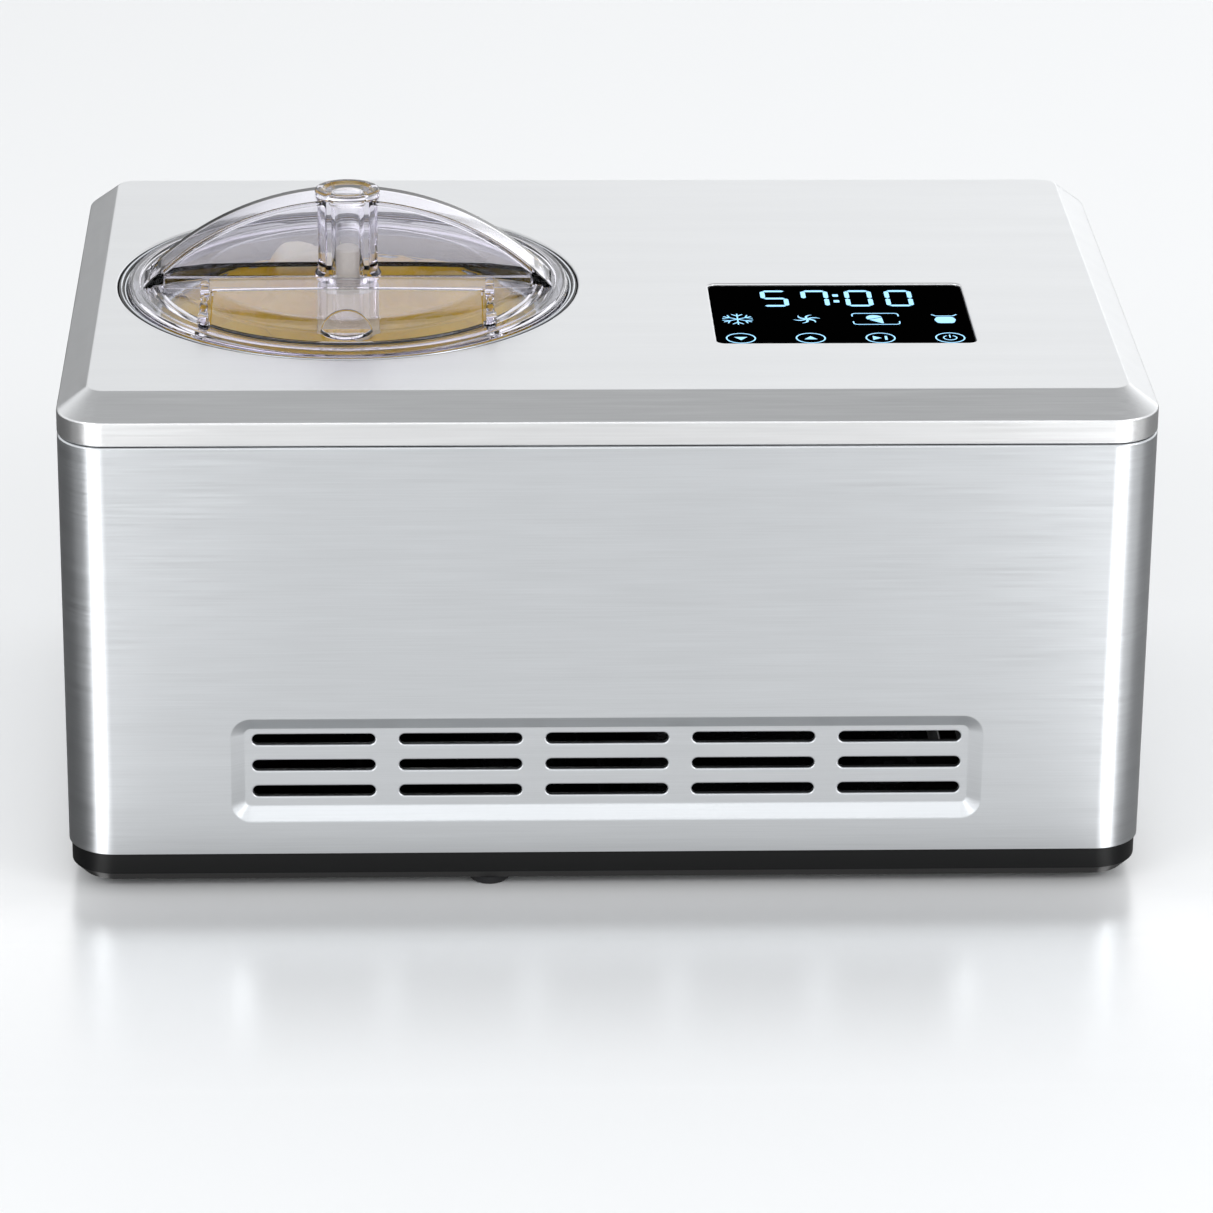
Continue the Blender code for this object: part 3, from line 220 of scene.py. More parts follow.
class Surface:
    """A mesh in the making, built from rings of points."""

    def __init__(self) -> None:
        """Starts an empty mesh."""
        self.bm = bmesh.new()

    def rings(self, rings: Iterable[Sequence[Sequence[float]]], close: bool = False) -> list[list]:
        """Adds rings of points and joins each ring to the next with faces.

        Args:
            rings: Rings with equal numbers of points; a ring of one point is a pole.
            close: Whether the last ring joins the first.

        Returns:
            The vertices of each ring.
        """
        made = [[self.bm.verts.new(point) for point in ring] for ring in rings]
        pairs = list(zip(made, made[1:])) + ([(made[-1], made[0])] if close else [])
        for low, high in pairs:
            count = max(len(low), len(high))
            for index in range(count):
                following = (index + 1) % count
                corners = [low[index % len(low)], low[following % len(low)],
                           high[following % len(high)], high[index % len(high)]]
                corners = list(dict.fromkeys(corners))
                if len(corners) > 2:
                    self.bm.faces.new(corners)
        return made

    def fill(self, *loops: Sequence) -> None:
        """Fills a flat region whose boundary is these loops of vertices, the later ones holes."""
        edges = []
        for loop in loops:
            for start, end in zip(loop, list(loop[1:]) + [loop[0]]):
                edges.append(self.bm.edges.get((start, end)) or self.bm.edges.new((start, end)))
        bmesh.ops.triangle_fill(self.bm, edges=edges, use_beauty=True, use_dissolve=False)

    def turned(self, profile: Sequence[Pair], steps: int, centre: Sequence[float] = (0.0, 0.0, 0.0),
               close: bool = True) -> Surface:
        """Turns a profile of (radius, height) points about a vertical axis.

        Args:
            profile: Points of the profile; a radius of nought is a pole.
            steps: Straight pieces round the axis.
            centre: Where the axis stands and heights start.
            close: Whether the last point joins the first.

        Returns:
            This surface.
        """
        x, y, z = centre
        rings = []
        for radius, height in profile:
            if radius < 1e-6:
                rings.append([(x, y, z + height)])
            else:
                rings.append([(x + a, y + b, z + height) for a, b in circle(radius, steps)])
        self.rings(rings, close)
        return self

    def slab(self, outlines: Sequence[Sequence[Pair]], low: float, high: float, edge: float = 0.0,
             steps: int = 3, place: Matrix | None = None) -> Surface:
        """Adds a flat plate, its edges rounded.

        Args:
            outlines: An anticlockwise outline, then clockwise holes.
            low: Height of its lower face.
            high: Height of its upper face.
            edge: Radius of its edges.
            steps: Straight pieces across each edge.
            place: Where the plate goes once it is made.

        Returns:
            This surface.
        """
        corner = [(edge, 0.0), *arc((edge, edge), edge, 270, 180, steps)[1:]] if edge else [(0.0, 0.0)]
        levels = [(inward, low + up) for inward, up in corner]
        levels += [(inward, high - up) for inward, up in reversed(corner)]
        before = set(self.bm.verts)
        stacks = []
        for outline in outlines:
            flat = [inset(outline, inward) if inward else outline for inward, _ in levels]
            stacks.append(self.rings([[(x, y, height) for x, y in points]
                                      for points, (_, height) in zip(flat, levels)]))
        for end in (0, -1):
            self.fill(*[stack[end] for stack in stacks])
        if place:
            fresh = [vertex for vertex in self.bm.verts if vertex not in before]
            bmesh.ops.transform(self.bm, matrix=place, verts=fresh)
        return self

    def box(self, low: Sequence[float], high: Sequence[float], edge: float = 0.0) -> Surface:
        """Adds a box between two corners, its edges rounded.

        Args:
            low: Its lowest corner.
            high: Its highest corner.
            edge: Radius of its edges.

        Returns:
            This surface.
        """
        low, high = Vector(low), Vector(high)
        fit = Matrix.Translation((low + high) / 2) @ Matrix.Diagonal((*(high - low), 1.0))
        made = bmesh.ops.create_cube(self.bm, size=1.0, matrix=fit)
        if edge:
            sides = list({side for vertex in made["verts"] for side in vertex.link_edges})
            bmesh.ops.bevel(self.bm, geom=sides, offset=edge, segments=2, profile=0.5, affect="EDGES")
        return self

    def tube(self, route: Sequence[Vector], radius: float, sides: int = 12) -> Surface:
        """Adds a round wire with closed ends along a route.

        Args:
            route: Points of its middle line.
            radius: Radius of the wire.
            sides: Straight pieces round it.

        Returns:
            This surface.
        """
        rings = []
        side = (route[1] - route[0]).orthogonal().normalized()
        for index, here in enumerate(route):
            along = (route[min(index + 1, len(route) - 1)] - route[max(index - 1, 0)]).normalized()
            side = (side - along * side.dot(along)).normalized()
            across = along.cross(side)
            rings.append([here + radius * (side * x + across * y) for x, y in circle(1.0, sides)])
        made = self.rings(rings)
        for ring in (made[0], made[-1]):
            self.bm.faces.new(ring)
        return self

    def mesh(self) -> bpy.types.Mesh:
        """Turns the faces outwards and writes the mesh."""
        bmesh.ops.remove_doubles(self.bm, verts=self.bm.verts, dist=1e-7)
        bmesh.ops.recalc_face_normals(self.bm, faces=self.bm.faces)
        made = bpy.data.meshes.new("shape")
        self.bm.to_mesh(made)
        self.bm.free()
        return made


def settle(made: bpy.types.Object) -> bpy.types.Object:
    """Writes an object's modifiers into its mesh and removes them."""
    graph = bpy.context.evaluated_depsgraph_get()
    mesh = bpy.data.meshes.new_from_object(made.evaluated_get(graph))
    made.modifiers.clear()
    made.data = mesh
    return made


def as_object(name: str, mesh: bpy.types.Mesh) -> bpy.types.Object:
    """Puts a mesh in the scene."""
    made = bpy.data.objects.new(name, mesh)
    bpy.context.scene.collection.objects.link(made)
    return made


def combined(target: bpy.types.Mesh, other: bpy.types.Mesh, operation: Operation) -> bpy.types.Mesh:
    """Joins, cuts or intersects two closed meshes.

    Args:
        target: The mesh that is changed.
        other: The mesh it is changed with.
        operation: What is done.

    Returns:
        The new mesh.
    """
    first, second = as_object("first", target), as_object("second", other)
    modifier = first.modifiers.new("shape", "BOOLEAN")
    modifier.operation = operation.value
    modifier.object = second
    made = settle(first).data
    for used in (first, second):
        bpy.data.objects.remove(used, do_unlink=True)
    return made


def make_piece(name: str, mesh: bpy.types.Mesh, finish: Finish, body: Body, nodes: Sequence[str] = (),
               wall: float = 0.0, sharp: float = 35.0) -> bpy.types.Object:
    """Finishes a piece: sheet thickness, even shading, its material and the body it rides on.

    Args:
        name: Name of the piece.
        mesh: Its mesh, in place.
        finish: Its surface finish.
        body: The body it moves with.
        nodes: The nodes of the frame it stands for.
        wall: Thickness given to an open surface, inwards.
        sharp: Angle in degrees past which an edge stays sharp.

    Returns:
        The finished object.
    """
    made = as_object(name, mesh)
    if wall:
        thickness = made.modifiers.new("wall", "SOLIDIFY")
        thickness.thickness = wall
        thickness.offset = -1.0
        thickness.use_even_offset = True
        settle(made)
    made.data.shade_smooth()
    made.data.set_sharp_from_angle(angle=math.radians(sharp))
    even = made.modifiers.new("even_shading", "WEIGHTED_NORMAL")
    even.keep_sharp = True
    settle(made)
    made.data.name = name
    made.data.materials.clear()
    made.data.materials.append(finish.material())
    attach(made, body.value)
    if nodes:
        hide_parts(*nodes)
    LOG.info("%s: %d faces on %s", name, len(made.data.polygons), body.value)
    return made


# ---------------------------------------------------------------- repeats, by Geometry Nodes

class Repeat:
    """Geometry Nodes that stand one shape at each of many places."""

    def __init__(self) -> None:
        """Builds the tree: shape, places, turn and finish in, one plain mesh out."""
        tree = bpy.data.node_groups.new("repeat_shape", "GeometryNodeTree")
        self.inputs = {}
        for name, kind in (("Places", "NodeSocketGeometry"), ("Shape", "NodeSocketObject"),
                           ("Count", "NodeSocketInt"), ("Step", "NodeSocketVector"),
                           ("Finish", "NodeSocketMaterial")):
            socket = tree.interface.new_socket(name, in_out="INPUT", socket_type=kind)
            self.inputs[name] = socket.identifier
        tree.interface.new_socket("Geometry", in_out="OUTPUT", socket_type="NodeSocketGeometry")
        start = add_node(tree, "NodeGroupInput")
        shape = add_node(tree, "GeometryNodeObjectInfo", {"Object": start.outputs["Shape"]})
        line = add_node(tree, "GeometryNodeMeshLine", {"Count": start.outputs["Count"],
                                                       "Offset": start.outputs["Step"]}, mode="OFFSET")
        row = add_node(tree, "GeometryNodeInstanceOnPoints", {"Points": line.outputs["Mesh"],
                                                              "Instance": shape.outputs["Geometry"]})
        rows = add_node(tree, "GeometryNodeInstanceOnPoints", {"Points": start.outputs["Places"],
                                                               "Instance": row.outputs["Instances"]})
        real = add_node(tree, "GeometryNodeRealizeInstances", {"Geometry": rows.outputs["Instances"]})
        dressed = add_node(tree, "GeometryNodeSetMaterial", {"Geometry": real.outputs["Geometry"],
                                                             "Material": start.outputs["Finish"]})
        add_node(tree, "NodeGroupOutput", {"Geometry": dressed.outputs["Geometry"]})
        self.tree = tree

    def mesh(self, shape: bpy.types.Mesh, places: Sequence[Sequence[float]], finish: Finish,
             count: int = 1, step: Sequence[float] = (0.0, 0.0, 0.0)) -> bpy.types.Mesh:
        """Repeats a shape.

        Args:
            shape: The shape, about the origin.
            places: Where each row starts.
            finish: The finish of the shape.
            count: Number of shapes in each row.
            step: From each shape of a row to the next.

        Returns:
            The plain mesh of all the shapes.
        """
        base = bpy.data.meshes.new("places")
        base.from_pydata([tuple(place) for place in places], [], [])
        holder, pattern = as_object("holder", base), as_object("pattern", shape)
        modifier = holder.modifiers.new("repeat", "NODES")
        modifier.node_group = self.tree
        values = {"Shape": pattern, "Count": count, "Step": tuple(step), "Finish": finish.material()}
        for key, value in values.items():
            modifier[self.inputs[key]] = value
        made = settle(holder).data
        for used in (holder, pattern):
            bpy.data.objects.remove(used, do_unlink=True)
        return made


# ---------------------------------------------------------------- finishes

def srgb(code: str) -> tuple[float, float, float, float]:
    """Turns an sRGB hex colour into linear values with full alpha."""
    values = [int(code[place:place + 2], 16) / 255 for place in (1, 3, 5)]
    linear = [v / 12.92 if v <= 0.04045 else ((v + 0.055) / 1.055) ** 2.4 for v in values]
    return (linear[0], linear[1], linear[2], 1.0)


def add_node(tree: bpy.types.NodeTree, kind: str, inputs: dict | None = None,
             **settings: object) -> bpy.types.Node:
    """Adds one node with its settings, and with values or links on its inputs.

    Args:
        tree: The tree that gets the node.
        kind: Type of the node.
        inputs: By socket name or number, a value or the socket that feeds it.
        settings: The node's own properties.

    Returns:
        The node.
    """
    node = tree.nodes.new(kind)
    for name, value in settings.items():
        setattr(node, name, value)
    for key, value in (inputs or {}).items():
        if isinstance(value, bpy.types.NodeSocket):
            tree.links.new(value, node.inputs[key])
        else:
            node.inputs[key].default_value = value
    return node


def ranged(tree: bpy.types.NodeTree, value: bpy.types.NodeSocket, start: Pair, end: Pair = (0.0, 1.0),
           smooth: bool = False) -> bpy.types.NodeSocket:
    """Maps one range of values onto another.

    Args:
        tree: The tree that gets the node.
        value: The value that is mapped.
        start: The range it comes from.
        end: The range it goes to.
        smooth: Whether both ends ease in.

    Returns:
        The socket with the mapped value.
    """
    made = add_node(tree, "ShaderNodeMapRange", {"Value": value, "From Min": start[0], "From Max": start[1],
                                                 "To Min": end[0], "To Max": end[1]},
                    interpolation_type="SMOOTHSTEP" if smooth else "LINEAR")
    return made.outputs["Result"]


def worked(tree: bpy.types.NodeTree, operation: str, first: object,
           second: object = 0.0) -> bpy.types.NodeSocket:
    """Works out one sum of sockets or numbers."""
    return add_node(tree, "ShaderNodeMath", {0: first, 1: second}, operation=operation).outputs[0]


def coordinates(tree: bpy.types.NodeTree, kind: str = "Object") -> bpy.types.bpy_prop_collection:
    """Gives the X, Y and Z sockets of one kind of coordinates."""
    place = add_node(tree, "ShaderNodeTexCoord").outputs[kind]
    return add_node(tree, "ShaderNodeSeparateXYZ", {"Vector": place}).outputs


@dataclass(frozen=True)
class Finish:
    """A finish with a faint mottle in its tone and gloss.

    Attributes:
        name: Name of the material.
        slot: The record's slot that it fills; not used.
        colour: Its sRGB colour.
        roughness: Its typical roughness.
        metallic: 1 for a bare metal.
        ior: Index of refraction of a non-metal.
        grain: Size of the mottle in metres.
        relief: Height of the surface's texture in metres.
        contrast: How far the mottle darkens and lightens the colour.
        shine: Strength of the mirror-like share of a non-metal, 0.5 for plain plastic.
    """

    name: str
    slot: str
    colour: str
    roughness: float
    metallic: float = 0.0
    ior: float = 1.5
    shine: float = 0.5
    grain: float = 1.2 * MM
    relief: float = 0.02 * MM
    contrast: float = 0.12

    def material(self) -> bpy.types.Material:
        """Gives the material, made the first time it is asked for."""
        found = bpy.data.materials.get(self.name)
        if found:
            return found
        made = bpy.data.materials.new(self.name)
        made.use_nodes = True
        shader = made.node_tree.nodes["Principled BSDF"]
        shader.inputs["Base Color"].default_value = srgb(self.colour)
        shader.inputs["Roughness"].default_value = self.roughness
        shader.inputs["Metallic"].default_value = self.metallic
        if not self.metallic:
            shader.inputs["IOR"].default_value = self.ior
            shader.inputs["Specular IOR Level"].default_value = self.shine
        self.dress(made.node_tree, shader)
        return made

    def noise(self, tree: bpy.types.NodeTree, size: Sequence[float],
              detail: float = 3.0) -> bpy.types.NodeSocket:
        """Noise in object space.

        Args:
            tree: The material's tree.
            size: Length of a feature along X, Y and Z, in metres.
            detail: Octaves of finer noise on top.

        Returns:
            The socket with the noise, about 0.5 on average.
        """
        place = add_node(tree, "ShaderNodeTexCoord").outputs["Object"]
        scale = tuple(1.0 / length for length in size)
        mapped = add_node(tree, "ShaderNodeMapping", {"Vector": place, "Scale": scale})
        spots = add_node(tree, "ShaderNodeTexNoise", {"Vector": mapped.outputs["Vector"], "Scale": 1.0,
                                                      "Detail": detail, "Roughness": 0.6})
        return spots.outputs["Fac"]

    def spread(self, tree: bpy.types.NodeTree, value: bpy.types.NodeSocket, low: float,
               high: float) -> bpy.types.NodeSocket:
        """Maps noise onto a range of values."""
        return ranged(tree, value, (0.3, 0.7), (low, high))

    def tint(self, tree: bpy.types.NodeTree, shader: bpy.types.Node, value: bpy.types.NodeSocket,
             contrast: float) -> None:
        """Darkens and lightens the base colour with noise."""
        tone = self.spread(tree, value, 1.0 - contrast, 1.0 + contrast)
        mixed = add_node(tree, "ShaderNodeVectorMath", {0: srgb(self.colour)[:3], "Scale": tone},
                         operation="SCALE")
        tree.links.new(mixed.outputs["Vector"], shader.inputs["Base Color"])

    def raise_bump(self, tree: bpy.types.NodeTree, shader: bpy.types.Node,
                   value: bpy.types.NodeSocket, height: float) -> None:
        """Turns noise into relief."""
        bump = add_node(tree, "ShaderNodeBump", {"Height": value, "Distance": height, "Strength": 1.0})
        tree.links.new(bump.outputs["Normal"], shader.inputs["Normal"])

    def dress(self, tree: bpy.types.NodeTree, shader: bpy.types.Node) -> None:
        """Adds the mottle of the finish to its shader."""
        spots = self.noise(tree, (self.grain,) * 3)
        self.tint(tree, shader, spots, self.contrast)
        gloss = self.spread(tree, spots, self.roughness * 0.85, self.roughness * 1.15)
        tree.links.new(gloss, shader.inputs["Roughness"])
        self.raise_bump(tree, shader, spots, self.relief)


@dataclass(frozen=True)
class BrushedSheet(Finish):
    """Stainless sheet with a directional grain: hairlines 30 to 60 mm long.

    The real lines are 0.1 mm apart; they are drawn 0.6 mm apart, as coarse as they need to show.
    On the top the grain runs along X; on walls it runs level, so it follows each side.
    """

    spacing: float = 0.6 * MM
    length: float = 45 * MM
    flat_top: bool = False

    def dress(self, tree: bpy.types.NodeTree, shader: bpy.types.Node) -> None:
        """Adds the hairlines and slow streaks."""
        across = self.spacing
        if self.flat_top:
            lines = self.noise(tree, (self.length, across, across), 2.0)
            side = self.noise(tree, (across, self.length, across), 2.0)
            sideways = worked(tree, "ABSOLUTE", coordinates(tree, "Normal")["X"])
            share = ranged(tree, sideways, (0.5, 0.8))
            both = add_node(tree, "ShaderNodeMix", {"Factor": share, "A": lines, "B": side})
            lines = both.outputs["Result"]
            slow = self.noise(tree, (4 * self.length, 12 * MM, 12 * MM), 3.0)
        else:
            lines = self.noise(tree, (self.length, self.length, across), 2.0)
            slow = self.noise(tree, (4 * self.length, 4 * self.length, 7 * MM), 3.0)
        blend = add_node(tree, "ShaderNodeMix", {"Factor": 0.35, "A": lines, "B": slow})
        self.tint(tree, shader, blend.outputs["Result"], self.contrast)
        gloss = self.spread(tree, lines, self.roughness - 0.05, self.roughness + 0.05)
        tree.links.new(gloss, shader.inputs["Roughness"])
        self.raise_bump(tree, shader, lines, self.relief)


@dataclass(frozen=True)
class ClearPlastic(Finish):
    """Injection-moulded SAN: water clear, glossy, with a faint lilac tint in its thick edges.

    The moulding's slow waviness bends what is seen through it.
    """

    absorption: str = "#B9A6E6"
    density: float = 6.0

    def dress(self, tree: bpy.types.NodeTree, shader: bpy.types.Node) -> None:
        """Makes the shader clear, tints its depth and adds the waviness."""
        shader.inputs["Transmission Weight"].default_value = 1.0
        depth = add_node(tree, "ShaderNodeVolumeAbsorption", {"Color": srgb(self.absorption),
                                                              "Density": self.density})
        tree.links.new(depth.outputs["Volume"], tree.nodes["Material Output"].inputs["Volume"])
        waves = self.noise(tree, (self.grain,) * 3, 1.0)
        gloss = self.spread(tree, waves, 0.0, self.roughness)
        tree.links.new(gloss, shader.inputs["Roughness"])
        self.raise_bump(tree, shader, waves, self.relief)


@dataclass(frozen=True)
class Glow(Finish):
    """Back-lit symbol on dark glass, evenly bright with a slightly cloudy diffuser."""

    strength: float = 1.0

    def dress(self, tree: bpy.types.NodeTree, shader: bpy.types.Node) -> None:
        """Lights the symbol."""
        shader.inputs["Emission Color"].default_value = srgb(self.colour)
        cloud = self.noise(tree, (self.grain,) * 3)
        power = self.spread(tree, cloud, 0.85 * self.strength, 1.15 * self.strength)
        tree.links.new(power, shader.inputs["Emission Strength"])


@dataclass(frozen=True)
class SoftServe(Finish):
    """Churned egg-yolk ice cream: dull, moist, with light scattered under its surface.

    Attributes:
        lid_glare: Its sRGB colour where it stands up out of the bucket, paler: painted reflection of the
            clear lid's double wall in front of it.
        lid_glare_from: Height where the painted reflection starts.
    """

    lid_glare: str = "#F3EAC0"
    lid_glare_from: float = 195.5 * MM

    def dress(self, tree: bpy.types.NodeTree, shader: bpy.types.Node) -> None:
        """Adds scatter, pale and deep patches, a painted reflection of the lid where it stands high, and a
        scraped grain.
        """
        shader.inputs["Subsurface Weight"].default_value = 0.15
        shader.inputs["Subsurface Radius"].default_value = (1.0, 0.6, 0.2)
        shader.inputs["Subsurface Scale"].default_value = 2 * MM
        patches = self.noise(tree, (18 * MM, 18 * MM, 10 * MM), 4.0)
        tone = self.spread(tree, patches, 1.0 - self.contrast, 1.0 + self.contrast)
        # Paler above this height: painted reflection of the clear lid's double wall
        glare_heights = (self.lid_glare_from, self.lid_glare_from + 5 * MM)
        lid_glare = ranged(tree, coordinates(tree)["Z"], glare_heights)
        cream = add_node(tree, "ShaderNodeMix", {"Factor": lid_glare, "A": srgb(self.colour),
                                                 "B": srgb(self.lid_glare)}, data_type="RGBA")
        shaded = add_node(tree, "ShaderNodeVectorMath", {0: cream.outputs["Result"], "Scale": tone},
                          operation="SCALE")
        tree.links.new(shaded.outputs["Vector"], shader.inputs["Base Color"])
        self.raise_bump(tree, shader, self.noise(tree, (self.grain,) * 3, 5.0), self.relief)


# Ferritic stainless, brushed: soft grey, long level hairlines
STEEL_WALL = BrushedSheet("brushed_stainless_wall", "brushed_steel", "#C6C9CC", 0.33, 1.0, contrast=0.05,
                          relief=0.012 * MM)
STEEL_COVER = BrushedSheet("brushed_stainless_cover", "brushed_steel", "#D8D9DA", 0.33, 1.0, contrast=0.045,
                           relief=0.012 * MM, flat_top=True)
# Moulded ABS, fine spark texture: near black, satin
BLACK_ABS = Finish("satin_black_abs", "black_plastic", "#08090A", 0.42, shine=0.25, grain=0.5 * MM,
                   relief=0.015 * MM)
# Moulded ABS, polished: deep black, glossy
GLOSS_ABS = Finish("gloss_black_abs", "black_plastic", "#050506", 0.14, shine=0.15, grain=6 * MM,
                   relief=0.004 * MM, contrast=0.05)
# Toughened glass with black print behind it and a coating against glare: faint wipe marks
BLACK_GLASS = Finish("black_printed_glass", "black_glass", "#010101", 0.04, shine=0.0, grain=14 * MM,
                     relief=0.0, contrast=0.03)
# Moulded styrene-acrylonitrile: water clear, its glare kept low so that the bucket shows
CLEAR_SAN = ClearPlastic("clear_san", "clear_plastic", "#FCFBFF", 0.02, ior=1.42, shine=0.25, grain=16 * MM,
                         relief=0.04 * MM)
# Printed windows in the glass with blue-white diodes behind them
ICE_BLUE = Glow("ice_blue_light", "black_glass", "#84C4EA", 0.3, grain=2 * MM, strength=0.7)
# Spun aluminium, clear anodised: pale, satin
SPUN_ALUMINIUM = Finish("spun_aluminium", "aluminium", "#B9BCC0", 0.28, 1.0, grain=9 * MM,
                        relief=0.003 * MM, contrast=0.05)
# Spun aluminium, hard anodised: smoke grey, satin
HARD_ANODISED = Finish("hard_anodised_aluminium", "aluminium", "#6A6D72", 0.24, 1.0, grain=9 * MM,
                       relief=0.003 * MM, contrast=0.05)
# Bright rolled stainless: the thin ring and the lining round the well
BRIGHT_STEEL = Finish("bright_stainless", "brushed_steel", "#C9CCD0", 0.2, 1.0, grain=9 * MM,
                      relief=0.002 * MM, contrast=0.04)
# Rolled aluminium strip: bright, thin, a little oxidised
FIN_ALUMINIUM = Finish("rolled_aluminium_fins", "aluminium", "#B4B8BC", 0.35, 1.0, grain=4 * MM)
# Drawn copper tube: warm, partly tarnished
DRAWN_COPPER = Finish("drawn_copper", "copper", "#C98A66", 0.32, 1.0, grain=9 * MM, contrast=0.25)
# Sintered bronze bush, soaked in oil: brown, dull, fine pored
SINTERED_BRONZE = Finish("sintered_bronze", "bronze", "#A9824F", 0.45, 1.0, grain=0.3 * MM)
# Expanded polystyrene beads: matt white, pebbled
WHITE_EPS = Finish("moulded_polystyrene_foam", "white_foam", "#E9E9E4", 0.9, ior=1.4, grain=3 * MM,
                   relief=0.3 * MM, contrast=0.05)
# Natural rubber, moulded: dull black
MOULDED_RUBBER = Finish("moulded_rubber", "black_rubber", "#17171A", 0.8, ior=1.52, grain=0.6 * MM)
# Stoved enamel on pressed steel: black, orange-peel gloss
STOVED_ENAMEL = Finish("stoved_black_enamel", "black_enamel", "#141517", 0.25, grain=2 * MM,
                       relief=0.03 * MM)
# Moulded nylon: off-white, waxy
NYLON = Finish("moulded_nylon", "white_nylon", "#EBE7DB", 0.42, ior=1.53, grain=2 * MM, contrast=0.04)
# Glass-fibre board with green solder mask
SOLDER_MASK = Finish("green_solder_mask", "circuit_board", "#1B5A35", 0.35, ior=1.55, grain=1 * MM,
                     contrast=0.2)
# Zinc-plated steel: bluish bright, faintly clouded
ZINC_PLATE = Finish("zinc_plated_steel", "zinc_steel", "#B6BABE", 0.26, 1.0, grain=5 * MM, contrast=0.1)
# Steel screws, black oxide under oil
BLACK_OXIDE = Finish("black_oxide_steel", "zinc_steel", "#18181A", 0.4, 1.0, grain=1 * MM)
# Churned custard: deep yellow, dull, paler where it stands high: painted reflection of the lid's double wall
CUSTARD = SoftServe("egg_yolk_ice_cream", "white_nylon", "#E6BA00", 0.5, ior=1.4, grain=2.5 * MM,
                    relief=0.35 * MM, contrast=0.10)

BY_SLOT = {"brushed_steel": STEEL_WALL, "black_plastic": BLACK_ABS, "black_glass": BLACK_GLASS,
           "clear_plastic": CLEAR_SAN, "aluminium": FIN_ALUMINIUM, "copper": DRAWN_COPPER,
           "bronze": SINTERED_BRONZE, "white_foam": WHITE_EPS, "black_rubber": MOULDED_RUBBER,
           "black_enamel": STOVED_ENAMEL, "white_nylon": NYLON, "circuit_board": SOLDER_MASK,
           "zinc_steel": ZINC_PLATE}


# ---------------------------------------------------------------- housing

def ring_at(outline: Sequence[Pair], height: float) -> list[tuple[float, float, float]]:
    """Lifts a flat outline to a height."""
    return [(x, y, height) for x, y in outline]


def upright_ring(outline: Sequence[Pair], y: float) -> list[tuple[float, float, float]]:
    """Stands a flat outline up in a plane that faces the front."""
    return [(x, y, z) for x, z in outline]


def middle_of(node: str) -> Vector:
    """Middle of a node's box."""
    low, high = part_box(node)
    return (low + high) / 2


